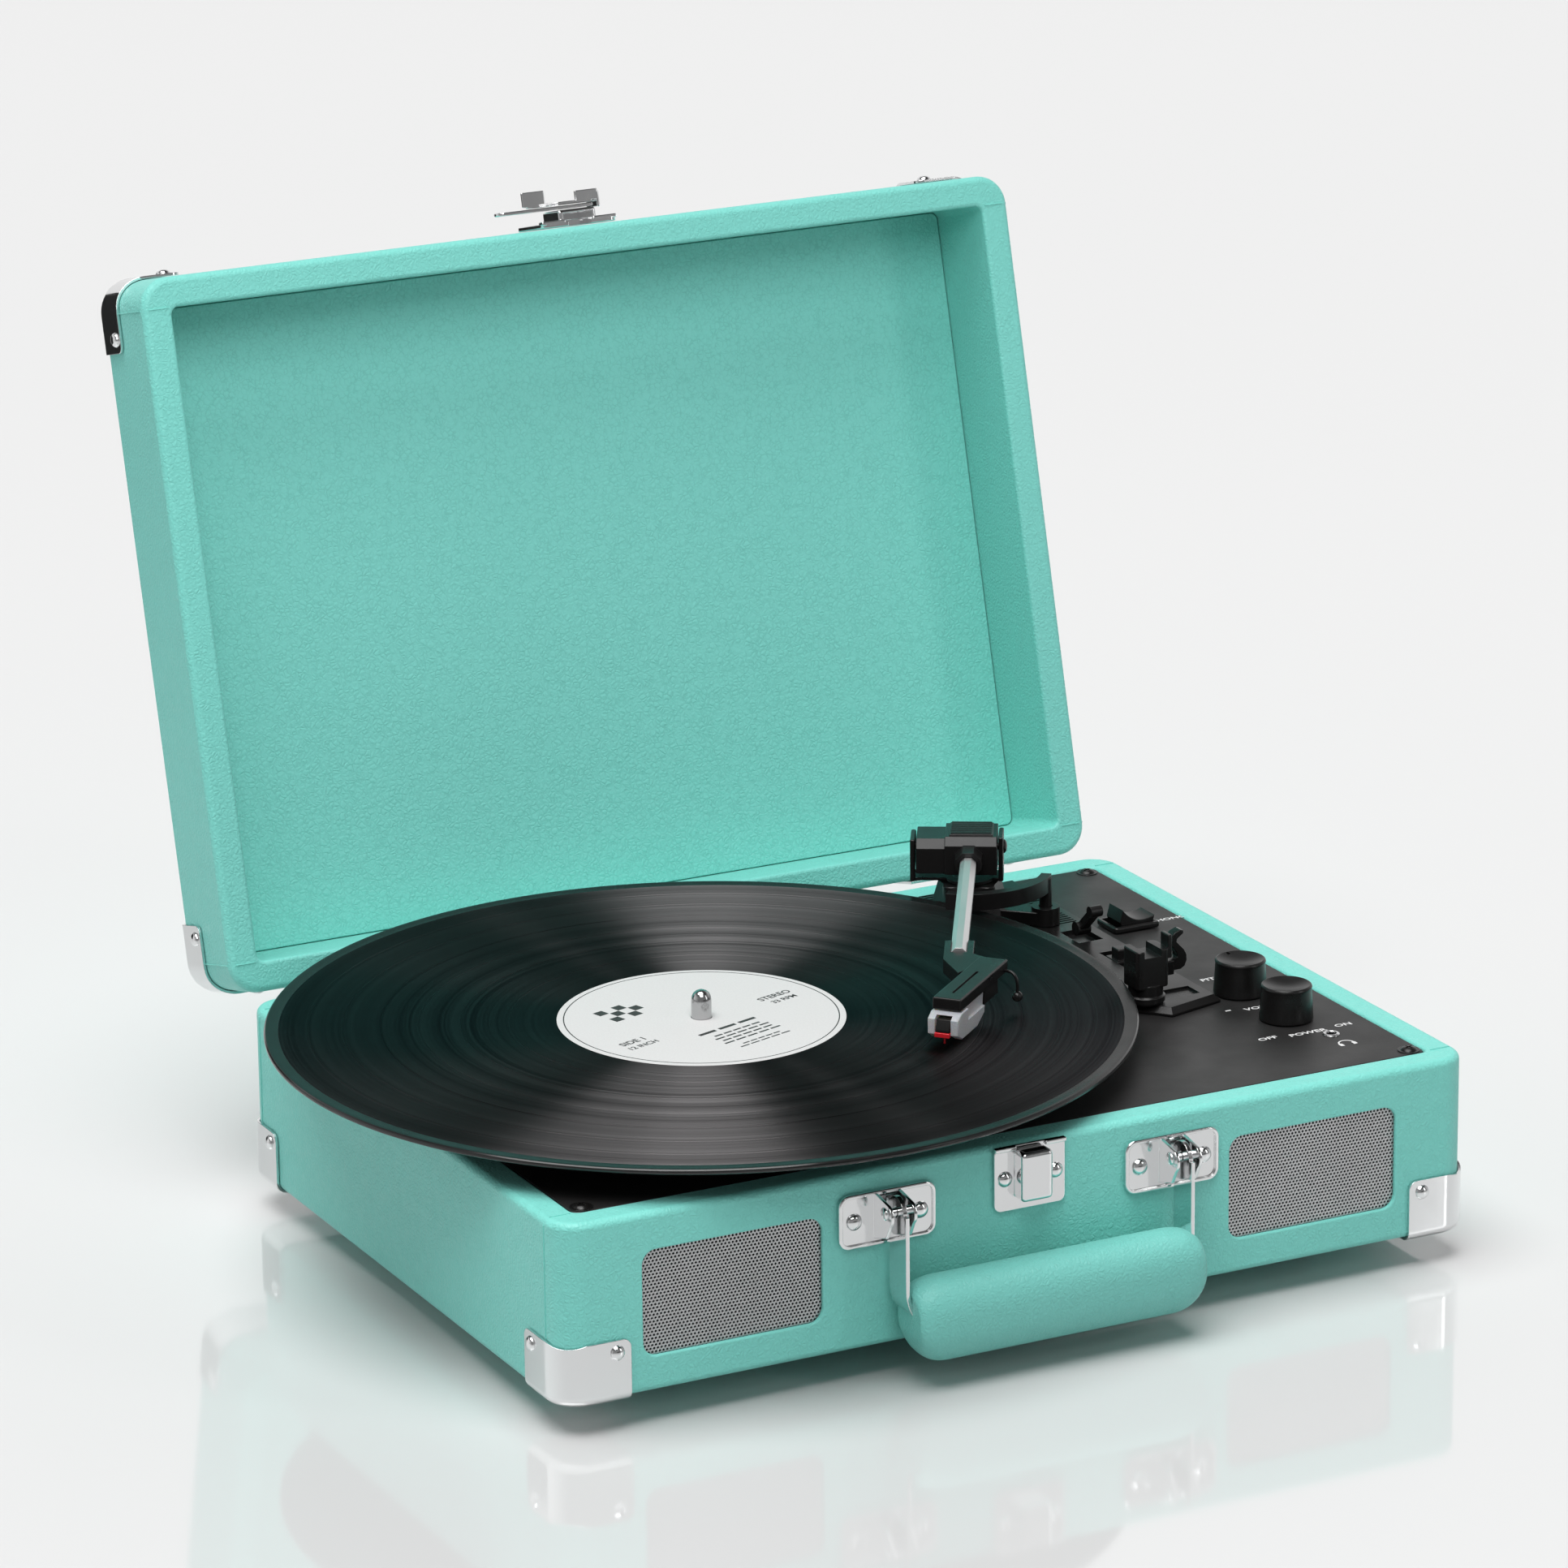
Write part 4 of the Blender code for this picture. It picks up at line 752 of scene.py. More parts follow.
def grip():
    """The padded grip: an oval bar whose ends roll under."""
    low, high = node_box("handle_grip")
    middle, half = (low + high) / 2, (high - low) / 2
    bm = bmesh.new()
    rings, around = 72, 56
    rows = []
    for i in range(rings + 1):
        t = -1 + 2 * i / rings
        x = half.x * math.sin(t * math.pi / 2) if abs(t) < 1 else math.copysign(half.x, t)
        edge = max(0.0, (abs(x) - (half.x - 13.0)) / 13.0)
        fall = math.sqrt(max(0.0, 1 - edge ** 2.6))
        upper, lower = 0.62 + 0.38 * fall, 0.22 + 0.78 * fall
        row = []
        for j in range(around):
            a = 2 * math.pi * j / around
            c, s = math.cos(a), math.sin(a)
            power = 2 / 2.5
            y = half.y * math.copysign(abs(c) ** power, c) * (0.7 + 0.3 * fall)
            z = half.z * math.copysign(abs(s) ** power, s) * (upper if s > 0 else lower)
            row.append(bm.verts.new((x, y, z)))
        rows.append(row)
    for a, b in zip(rows, rows[1:]):
        for j in range(around):
            k = (j + 1) % around
            bm.faces.new((a[j], a[k], b[k], b[j]))
    bm.faces.new(rows[0])
    bm.faces.new(rows[-1][::-1])
    bmesh.ops.recalc_face_normals(bm, faces=bm.faces)
    piece("padded_grip", bm, SHADED_GRIP_SKIN, "handle", ["handle_grip"], "leatherette",
          matrix=move(middle.x, middle.y, middle.z), smooth=60.0)


# Deck and controls --------------------------------------------------------------------------------

def deck():
    low, high = node_box("deck_panel")
    knob_x = joint_place("pitch_knob_turn").x
    cuts = [(rod(14, 50, 80, 64), move(PLATTER.x, PLATTER.y))]
    cuts += [(rod(3.6, 50, 80), move(knob_x, joint_place(j).y)) for j in ("pitch_knob_turn",
                                                                          "volume_knob_turn")]
    pulley = joint_place("motor_pulley_spin")
    cuts.append((rod(7.5, 50, 80, 48), move(pulley.x, pulley.y)))
    jack_low, jack_high = node_box("headphone_jack")
    jack = (jack_low + jack_high) / 2
    cuts.append((rod(2.7, 50, 80), move(jack.x, jack.y)))
    rocker = joint_place("rocker_switch_tilt")
    cuts.append((slab((-8.3, -5.9, 50), (8.3, 5.9, 80)), move(rocker.x, rocker.y)))
    piece("deck", slab(low, high, 2.7, 0.5), DECK, "base", ["deck_panel"], "deck_plastic", cuts=cuts)
    for sx in (-1, 1):
        for sy in (-1, 1):
            deck_screw("deck_screw_%s%s" % ("rear_" if sy > 0 else "front_", "right" if sx > 0 else "left"),
                       sx * 158.2, sy * 112.6)
    at = move(jack.x, jack.y, DECK_TOP)
    ring = [(1.8, -4), (1.8, 0.35), (2.05, 0.6), (2.6, 0.6), (3.0, 0.35), (3.05, 0.03), (2.5, 0.03),
            (2.5, -4)]
    piece("jack_ring", turned(ring, 48), NICKEL, "base", ["headphone_jack"], "chrome", matrix=at)
    black("jack_well", rod(2.4, -7, -4.3), "base", matrix=at)


def deck_screw(name, x, y):
    """A black cross-head screw in a shallow ring."""
    profile = [(0, 1.3), (1.4, 1.25), (2.4, 0.9), (2.9, 0.3), (3.1, 0.25), (3.6, 0.35), (3.9, 0.3),
               (4.0, 0.03), (0, 0.03)]
    at = move(x, y, DECK_TOP)
    cross = [(slab((-1.6, -0.35, 0.5), (1.6, 0.35, 2)), at @ turn(a + 20, "Z")) for a in (0, 90)]
    piece(name, turned(profile, 40), BLACK, "base", matrix=at, cuts=cross)


def knobs():
    for name, pointer in (("pitch_knob", 95.0), ("volume_knob", -95.0)):
        low, high = node_box(name)
        at = (low + high) / 2
        top, bottom = high.z, DECK_TOP + 0.5
        profile = [(0, top - 1.7)]
        profile += [(r, top - 1.7 * (1 - (r / 8.2) ** 2) ** 1.0) for r in (1.5, 3, 4.5, 6, 7.2, 8.0)]
        profile += [(8.35, top), (8.8, top - 0.25), (9.05, top - 0.8), (8.85, top - 1.5),
                    (9.0, top - 4), (9.55, bottom + 0.4), (9.4, bottom), (3, bottom), (3, 56), (0, 56)]
        angle = math.radians(pointer)
        dot = (rod(0.75, -0.9, 3, 20), move(at.x + 7.4 * math.cos(angle), at.y + 7.4 * math.sin(angle),
                                            top - 0.5))
        black(name + "_cap", turned(profile, 96), name, [name], matrix=move(at.x, at.y), cuts=[dot],
              smooth=28.0)


def text(name, words, size, at, body, look, facing=0.0, squash=1.0):
    """Flat printed words, kept to plain control names."""
    curve = bpy.data.curves.new(name, "FONT")
    curve.body = words
    curve.size = size * MM
    curve.align_x = "CENTER"
    curve.align_y = "CENTER"
    curve.extrude = 0.00002
    curve.offset = 0.022 * size * MM
    curve.resolution_u = 3
    made = bpy.data.objects.new(name, curve)
    bpy.context.scene.collection.objects.link(made)
    bpy.context.view_layer.update()
    mesh = bpy.data.meshes.new_from_object(made.evaluated_get(bpy.context.evaluated_depsgraph_get()))
    bpy.data.objects.remove(made, do_unlink=True)
    mesh.transform(Matrix.Diagonal((squash, 1, 1, 1)))
    mesh.transform(move(*at) @ turn(facing, "Z"))
    made = bpy.data.objects.new(name, mesh)
    bpy.context.scene.collection.objects.link(made)
    mesh.materials.clear()
    mesh.materials.append(look)
    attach(made, body)
    return made


def deck_print():
    z = DECK_TOP + 0.05
    for name, words, size, x, y in (("print_phono", "PHONO", 3.2, 157.6, 51.0),
                                    ("print_bt", "BT", 3.4, 126.0, 55.5),
                                    ("print_pitch", "PITCH", 3.4, 138.6, -14.6),
                                    ("print_volume", "VOLUME", 3.4, 138.6, -49.2),
                                    ("print_minus", "-", 6.0, 124.7, -46.6),
                                    ("print_plus", "+", 5.0, 151.5, -46.2),
                                    ("print_off", "OFF", 3.4, 121.9, -78.9),
                                    ("print_on", "ON", 3.4, 152.3, -79.1),
                                    ("print_power", "POWER", 3.4, 137.2, -80.4)):
        text(name, words, size, (x, y, z), "base", PRINT, squash=1.25)
    at = move(143.3, -96.2, z)
    band = turned([(2.5, 0.04), (3.1, 0.04), (3.1, 0.0), (2.5, 0.0)], 48)
    cups = [slab((x - 0.75, -1.9, 0.0), (x + 0.75, 0.3, 0.045), 0.3) for x in (-2.6, 2.6)]
    piece("print_headphone", band, PRINT, "base", slot="deck_plastic", matrix=at, joins=cups,
          cuts=[slab((-1.85, -6, -1), (1.85, 0, 1)), slab((-6, -6, -1), (6, -2.0, 1))])


def rocker():
    at = joint_place("rocker_switch_tilt")
    opening = (slab((-8.0, -5.6, 50), (8.0, 5.6, 80)), move(at.x, at.y))
    low, high = node_box("rocker_bezel")
    black("rocker_frame", slab((-9.4, -7.2, low.z), (9.4, 7.2, high.z), 1.5, 0.6), "base",
          ["rocker_bezel"], matrix=move(at.x, at.y), cuts=[opening])
    reach, height, sag = 6.8, 6.2, 2.6
    outline = [(reach, 1.5), (reach, height)]
    outline += [(reach * (1 - i / 8), height - sag * (1 - (1 - i / 8) ** 2)) for i in range(1, 16)]
    outline += [(-reach, height), (-reach, 1.5), (-3.5, -3), (3.5, -3)]
    tilt = move(at.x, at.y, at.z) @ turn(15, "Y") @ turn(90, "X")
    marks = [(slab((-5.2, height - 1.6, -2.0), (-4.7, 9, 2.0)), tilt)]
    black("rocker_paddle", prism(outline, -5.2, 5.2, 0.4), "rocker_switch", ["rocker_switch"],
          matrix=tilt, cuts=marks, smooth=30.0)


def cue_lever():
    at = joint_place("cue_lever_pivot")
    lean = move(at.x, at.y, at.z) @ turn(47, "X")
    joins = [(slab((-1.9, -1.5, 0), (1.9, 1.5, 13.5), edge=0.5), lean),
             (rod(2.1, 0, 4.6, 32), lean @ move(-2.3, 0, 13.2) @ turn(90, "Y"))]
    black("cue_handle", rod(2.6, 0, 5.2, 40), "cue_lever", ["cue_lever"],
          matrix=move(at.x - 2.6, at.y, at.z) @ turn(90, "Y"), joins=joins)


def speed_slider():
    low, high = node_box("speed_slider")
    middle = (low + high) / 2
    grip_at = [(slab((-2.6, -2.6, high.z - 4.8), (2.2, 2.6, high.z), edge=0.5), move(middle.x, middle.y))]
    black("slider_block", slab((low.x, low.y, low.z), (high.x, high.y, high.z - 3.8), edge=0.3),
          "speed_slider", ["speed_slider"], joins=grip_at)


def module_plate():
    low, high = MODULE_LOW, MODULE_HIGH
    outline = [(84, 112), (84, -20), (104, -44), (127, -38), (127, 112)]
    bm = prism(outline, low.z, high.z)
    rim = [e for e in bm.edges if all(abs(v.co.z - high.z) < 0.01 for v in e.verts)]
    bmesh.ops.bevel(bm, geom=rim, offset=2.0, segments=1, profile=0.5, affect="EDGES")
    slider_low, slider_high = node_box("speed_slider")
    slider_x = (slider_low.x + slider_high.x) / 2 - 0.5
    cue = joint_place("cue_lever_pivot")
    cuts = [slab((slider_x - 4.5, -1, low.z + 0.7), (slider_x + 6, 22, 80)),
            slab((cue.x - 5, cue.y - 7, low.z + 0.7), (cue.x + 5, cue.y + 7, 80)),
            slab((107, -33, high.z - 0.9), (121.5, -24.5, 80))]
    for number in range(14):
        y = 57.0 + 2.1 * number
        cuts.append(slab((113.5, y, high.z - 1.3), (122.6, y + 1.0, 80)))
    for number in range(6):
        y = 98.0 + 2.1 * number
        cuts.append(slab((86.5, y, high.z - 1.3), (108, y + 1.0, 80)))
    black("arm_module", bm, "base", ["arm_module_plate"], cuts=cuts)


# Tonearm ------------------------------------------------------------------------------------------

def pedestal():
    x, y = ARM_PIVOT.x, ARM_PIVOT.y
    low, high = node_box("tonearm_base")
    radius = 28.7
    to_post = move(x, y) @ turn(-45, "Z")
    joins = [(slab((5, -5, low.z), (radius, 5, 71), edge=0.6), to_post),
             (rod(5.2, low.z, 72.5, 40), to_post @ move(radius, 0)),
             (slab((-10, -9.5, 72), (10, 9.5, high.z - 0.02), 3.0, 0.5), move(x, y) @ turn(ARM_TURN, "Z"))]
    cuts = [(rod(2.6, low.z + 1, 75, 32), to_post @ move(radius, 0)), rod(3.4, 70, 82, 32)]
    black("arm_pedestal", rod(15.5, low.z, high.z, 8, 11.5, 22.5), "base", ["tonearm_base"],
          matrix=move(x, y), joins=joins, cuts=cuts)


def lift_platform():
    low, high = node_box("lift_platform")
    radius = 28.7
    top = high.z
    bm = bmesh.new()
    profile = [(radius - 2.2, top), (radius + 1.6, top), (radius + 1.6, top - 6), (radius, top - 6),
               (radius, top - 1.6), (radius - 2.2, top - 1.6)]
    section = bm.faces.new([bm.verts.new((r, 0, z)) for r, z in profile])
    start, end = -135.0, -40.0
    bmesh.ops.rotate(bm, matrix=Matrix.Rotation(math.radians(start), 3, "Z"), verts=bm.verts)
    bmesh.ops.spin(bm, geom=[section, *section.edges, *section.verts], cent=(0, 0, 0), axis=(0, 0, 1),
                   angle=math.radians(end - start), steps=64)
    bmesh.ops.remove_doubles(bm, verts=bm.verts, dist=0.001)
    bmesh.ops.recalc_face_normals(bm, faces=bm.faces)
    at = move(ARM_PIVOT.x, ARM_PIVOT.y)
    post = [(rod(2.3, low.z, top - 1, 32), at @ turn(-45, "Z") @ move(radius, 0))]
    black("lift_rail", bm, "lift_platform", ["lift_platform"], matrix=at, joins=post)


def yoke():
    lift = (-2.0, 92.0)
    joins = [rod(3, 71, 80.8),
             slab((lift[0] - 5, -21.5, 80.32), (lift[0] + 5, 12.4, 81.38), edge=0.2),
             slab((lift[0] - 7, 10.6, 80.35), (lift[0] + 6, 12.35, 97), edge=0.5),
             slab((lift[0] - 7, -21.45, 80.35), (lift[0] + 6, -19.6, 96), edge=0.5),
             (rod(1.3, 0, 4.5), ARM @ move(lift[0], 11.5, lift[1]) @ turn(90, "X")),
             (rod(1.3, 0, 4.5), ARM @ move(lift[0], -20.5, lift[1]) @ turn(-90, "X")),
             (dome(2.6, 0.5), ARM @ move(lift[0], 12.35, lift[1]) @ turn(-90, "X"))]
    black("arm_yoke", rod(9, 80.3, 81.4, 48), "tonearm_yoke", ["tonearm_yoke"], matrix=ARM, joins=joins)


def arm_block():
    main = [(-14, 84), (7.5, 84), (7.5, 94.8), (4.8, 97.6), (-11.5, 97.6), (-14, 95.5)]
    side = [(-14, 84), (6.3, 84), (6.3, 93.4), (3.2, 96.4), (-11, 96.4), (-14, 94)]
    across = turn(90, "X")
    facing = turn(90, "Y")
    joins = [prism(side, 8.5, 19.2, 0.35),
             (slab((-11, -7.2, 97), (4, 8.6, 98.2), edge=0.3), ARM),
             (rod(5.6, 0, 9, 8, 5.0, 22.5), ARM @ move(6, 0, ARM_HEIGHT) @ facing)]
    for number in range(9):
        x = -10.2 + 1.65 * number
        joins.append((slab((x, -6.6, 98.0), (x + 0.8, 8.0, 98.7)), ARM))
    cuts = [(rod(3.5, 0, 12, 8, facing=22.5), ARM @ move(9, 0, ARM_HEIGHT) @ facing),
            (rod(1.7, 0, 40), ARM @ move(-2, 15, 92) @ across)]
    black("arm_block", prism(main, -10.2, 8.8, 0.35), "tonearm", ["arm_pivot_block"], matrix=ARM @ across,
          joins=joins, cuts=cuts)


def arm_tube():
    low, high = 10.0, 116.0
    piece("arm_wand", rod(3.1, 0, high - low, 8, facing=22.5), ALUMINIUM, "tonearm", ["arm_tube"],
          "aluminium", matrix=ARM @ move(low, 0, ARM_HEIGHT) @ turn(90, "Y"))


def headshell():
    half = SHELL_WIDTH / 2
    top = 92.0
    collar = [(104, -5.2), (124, -5.2), (139, 0.5), (132, 7), (122, 10), (118, 5.2), (104, 5.2)]
    joins = [(prism(collar, 86.2, top - 0.3, 0.4), ARM),
             (slab((9, -half + 1.2, 82.5), (22, half - 0.3, 88), edge=0.4), SHELL)]
    cuts = [(rod(3.5, 0, 17, 8, facing=22.5), ARM @ move(100, 0, ARM_HEIGHT) @ turn(90, "Y")),
            (slab((16, -0.5, top - 0.8), (40, 0.5, top + 2)), SHELL)]
    black("shell", slab((0, -half, 87.6), (SHELL_LENGTH, half, top), edge=0.6), "tonearm", ["headshell"],
          matrix=SHELL, joins=joins, cuts=cuts)
    wire("finger_lift", [(3.5, half - 1.5, 88.6), (4.2, half + 1.5, 89.6), (5.2, half + 4.4, 88.9),
                         (5.4, half + 5.6, 86.0), (5.0, half + 5.3, 83.0), (4.2, half + 4.9, 80.8)], 0.55,
         BLACK, "tonearm", SHELL)
    black("finger_tip", ball(1.9), "tonearm", matrix=SHELL @ move(4, half + 4.9, 80.3), smooth=80.0)


def ball(radius):
    bm = bmesh.new()
    bmesh.ops.create_uvsphere(bm, u_segments=32, v_segments=20, radius=radius)
    return bm


def wire(name, points, radius, look, body, matrix):
    """A smooth wire through the points, made into a mesh."""
    curve = bpy.data.curves.new(name, "CURVE")
    curve.dimensions = "3D"
    curve.bevel_depth = radius * MM
    curve.bevel_resolution = 4
    curve.use_fill_caps = True
    spline = curve.splines.new("NURBS")
    spline.points.add(len(points) - 1)
    for point, place in zip(spline.points, points):
        point.co = (*[v * MM for v in place], 1.0)
    spline.use_endpoint_u = True
    spline.order_u = 4
    made = bpy.data.objects.new(name, curve)
    bpy.context.scene.collection.objects.link(made)
    bpy.context.view_layer.update()
    mesh = bpy.data.meshes.new_from_object(made.evaluated_get(bpy.context.evaluated_depsgraph_get()))
    bpy.data.objects.remove(made, do_unlink=True)
    bm = bmesh.new()
    bm.from_mesh(mesh)
    bmesh.ops.remove_doubles(bm, verts=bm.verts, dist=1e-6)
    bmesh.ops.scale(bm, vec=(1 / MM,) * 3, verts=bm.verts)
    return piece(name, bm, look, body, slot="black_plastic", matrix=matrix, smooth=60.0)


def cartridge():
    """A clear milky shell: two cheeks and a keel round a black holder with the red needle bar."""
    side = [(23, 87.3), (24, 80.5), (31, 77.6), (45.5, 77.6), (50, 80.2), (50, 85.5), (46.5, 87.3)]
    across = turn(90, "X")
    cuts = [(slab((43.5, -2.9, 70), (60, 2.9, 86.5)), SHELL),
            (slab((20, 4.6, 83.0), (40, 8, 90), edge=0.2), SHELL)]
    joins = [(slab((24.5, -5.8, 84.6), (28, 5.8, 87.3), edge=0.4), SHELL),
             (prism([(30, 79), (32, 76.9), (42, 76.9), (44, 79)], -2.4, 2.4, 0.3), SHELL @ across)]
    piece("cartridge_shell", prism(side, -5.6, 5.6, 0.6, 3), FROSTED, "tonearm", ["cartridge"],
          "white_plastic", matrix=SHELL @ across, joins=joins, cuts=cuts)
    black("needle_holder",
          prism([(44, 86), (49, 85.2), (50.4, 82.4), (50.4, 81.0), (44, 81.0)], -2.5, 2.5, 0.25),
          "tonearm", matrix=SHELL @ across)
    piece("needle_bar", slab((44, -2.75, 79.3), (51.0, 2.75, 80.95), edge=0.25), RED, "tonearm", ["stylus"],
          "red_plastic", matrix=SHELL,
          joins=[(rod(0.35, RECORD_HIGH.z + GAP, 80.5, 20), SHELL @ move(48, 0))])


def arm_rest():
    high = node_box("arm_rest_post")[1]
    x, y = 100.0, -32.0
    clip = joint_place("arm_rest_clip_pivot")
    foot = [(0, 73), (6.0, 73), (6.2, 72.8), (6.2, 69), (6.9, 68.4), (6.9, 66.6), (6.3, 66.2), (6.3, 65.9),
            (0, 65.9)]
    joins = [(slab((-6.4, -5.6, 72), (6.6, 5.6, 86), 2, 0.5), move(x, y)),
             (slab((4, -4.8, 82), (7.9, 0.8, 85.9), edge=0.4), move(x, y)),
             (slab((6.3, -4.8, 85), (7.9, 0.8, high.z), edge=0.4), move(x, y)),
             (slab((x + 5, clip.y - 5, clip.z - 2.6), (clip.x + 2.6, clip.y - 2.3, clip.z + 2.6), edge=0.4),
              HERE),
             (rod(1.2, 0, 5), move(clip.x, clip.y - 3, clip.z) @ turn(-90, "X"))]
    cuts = [(slab((-3.6, -8, 83.5), (3.2, 8, 90)), move(x, y))]
    black("rest_post", turned(foot, 56), "base", ["arm_rest_post"], matrix=move(x, y), joins=joins,
          cuts=cuts)
    outline = [(-2, -1.8), (4, -2.3), (7, -2.2), (8.6, -1.2), (9.4, 0.8), (9.3, 3), (8.3, 5), (6.4, 7.0),
               (5.3, 8.2), (5.5, 9.2), (8, 11.0), (7.9, 12.0), (6.8, 12.4), (4.4, 11.5), (3.2, 10.3),
               (2.8, 8.8), (3.3, 6.9), (4.7, 4.9), (5.6, 3.6), (5.6, 2.5), (4.4, 2.1), (-2, 1.8)]
    clip_at = move(clip.x, clip.y - 2.0, clip.z) @ turn(90, "X")
    black("rest_clip", prism(outline, -4, 0, 0.3), "arm_rest_clip", ["arm_rest_clip"], matrix=clip_at,
          cuts=[(rod(1.55, -1, 5), move(clip.x, clip.y - 2, clip.z) @ turn(-90, "X"))])


# Turntable ----------------------------------------------------------------------------------------

def turntable():
    at = move(PLATTER.x, PLATTER.y)
    bore = 3.7
    top, bottom = RECORD_HIGH.z, RECORD_LOW.z
    rim = RECORD_RADIUS
    tracks = [(66.0, 0.9), (82.5, 0.5), (97.0, 0.5), (110.5, 0.5), (123.5, 0.5), (135.5, 0.5)]
    profile = [(LABEL_RADIUS + 0.5, top - 0.15), (LABEL_RADIUS + 3, top - 0.22), (61, top - 0.22),
               (61.3, top - 0.12)]
    for radius, width in tracks:
        profile += [(radius, top - 0.12), (radius + 0.12, top - 0.2), (radius + width, top - 0.2),
                    (radius + width + 0.12, top - 0.12)]
    profile += [(rim - 5.2, top - 0.12), (rim - 5.0, top - 0.2), (rim - 2.6, top - 0.16),
                (rim - 1.9, top), (rim - 0.6, top - 0.05), (rim - 0.12, top - 0.45),
                (rim, (top + bottom) / 2), (rim - 0.12, bottom + 0.45), (rim - 0.6, bottom + 0.05),
                (rim - 1.9, bottom),
                (rim - 2.6, bottom + 0.2), (bore, bottom + 0.2), (bore, top - 0.15)]
    made = piece("long_player", turned(profile, 240), VINYL, "platter",
                 ["record"], "vinyl", matrix=at, smooth=20.0,
                 centre=Vector((PLATTER.x, PLATTER.y, 0)))
    made.data.materials.append(SMOOTH_VINYL)
    made.data.materials.append(BEAD)
    for face in made.data.polygons:
        reach = face.center.xy.length / MM
        if reach > rim - 1.0:
            face.material_index = 2
        elif reach > rim - 5.1 or face.normal.z < 0.5:
            face.material_index = 1
    label(top, bore, at)
    repaint("platter", BLACK, 30.0)
    repaint("slipmat", FELT, 30.0)
    repaint("platter_bearing", STEEL)
    profile = [(0, 86), (1.0, 85.9), (2.0, 85.45), (2.8, 84.7), (3.3, 83.7), (3.5, 82.6), (3.55, 81.5),
               (3.55, 49), (0, 49)]
    piece("spindle_pin", turned(profile, 64), PIN_STEEL, "platter", ["spindle"], "chrome", matrix=at,
          smooth=50.0)


def label(top, bore, at):
    """A white paper label with a thin printed ring, plain words and rows of small bars."""
    edge = LABEL_RADIUS
    disc = turned([(bore, top - 0.02), (edge - 0.2, top - 0.02), (edge, top - 0.12), (edge, top - 0.2),
                   (bore, top - 0.2)], 160)
    piece("record_label", disc, LABEL, "platter", slot="vinyl", matrix=at)
    z = top - 0.015
    ring = turned([(edge - 2.6, 0.03), (edge - 2.2, 0.03), (edge - 2.2, 0), (edge - 2.6, 0)], 160)
    piece("label_ring", ring, INK, "platter", slot="vinyl", matrix=at @ move(0, 0, z))
    facing = 17.0
    plane = at @ turn(facing, "Z") @ move(0, 0, z)
    bars = [(-14, -14.5, 28, 1.6), (-11, -18.6, 22, 0.9), (-13, -21.2, 26, 0.9), (-12, -23.8, 24, 0.9),
            (-13.5, -26.4, 27, 0.9), (-9, -30.5, 18, 0.7), (-12, -32.6, 24, 0.7)]
    for number, (x, y, length, height) in enumerate(bars):
        pieces = 5 if height < 1.5 else 3
        for part in range(pieces):
            step = length / pieces
            piece("label_bar_%d_%d" % (number, part),
                  slab((x + part * step, y, 0), (x + (part + 0.82) * step, y + height, 0.03)), INK,
                  "platter", slot="vinyl", matrix=plane)
    for row in range(3):
        for column in range(4):
            if (row + column) % 2 == 0:
                x, y = -24 + column * 4.2, 17 + row * 4.2
                piece("label_square_%d_%d" % (row, column), slab((x, y, 0), (x + 4, y + 4, 0.03)), INK,
                      "platter", slot="vinyl", matrix=plane)
    for name, words, size, x, y in (("label_side", "SIDE 1", 4.2, -34.0, -2.0),
                                    ("label_stereo", "STEREO", 4.2, 33.0, -2.0),
                                    ("label_speed", "33 RPM", 3.6, 33.0, -7.0),
                                    ("label_number", "12 INCH", 3.6, -34.0, -7.0)):
        c, s = math.cos(math.radians(facing)), math.sin(math.radians(facing))
        text(name, words, size, (PLATTER.x + x * c - y * s, PLATTER.y + x * s + y * c, z), "platter", INK,
             facing)


def hidden_parts():
    """Pieces inside the case keep their CAD shapes."""
    for node in ("motor", "motor_pulley"):
        repaint(node, STEEL)
    repaint("drive_belt", RUBBER)
    repaint("circuit_board", BOARD)
    for side in ("left", "right"):
        repaint("speaker_driver_" + side, BLACK)


def rear_panel():
    cuts, joins = [], []
    for x in (94, 78):
        joins.append((turned([(1.7, 3), (4.2, 3), (4.2, 1), (5, 1), (5, -3), (1.7, -3)], 40),
                      REAR @ move(x, 30, 0)))
        cuts.append((rod(1.7, -3.5, 5), REAR @ move(x, 30, 0)))
    cuts.append((rod(1.9, -6, 1), REAR @ move(42, 30, 0)))
    cuts.append((rod(1.8, -6, 1), REAR @ move(58, 30, 0)))
    black("socket_panel", slab((30 + GAP, 14 + GAP, -4), (110 - GAP, 46 - GAP, -2), 2.7, 0.3), "base",
          ["rear_jack_panel"], matrix=REAR, joins=joins, cuts=cuts)


# Studio -------------------------------------------------------------------------------------------

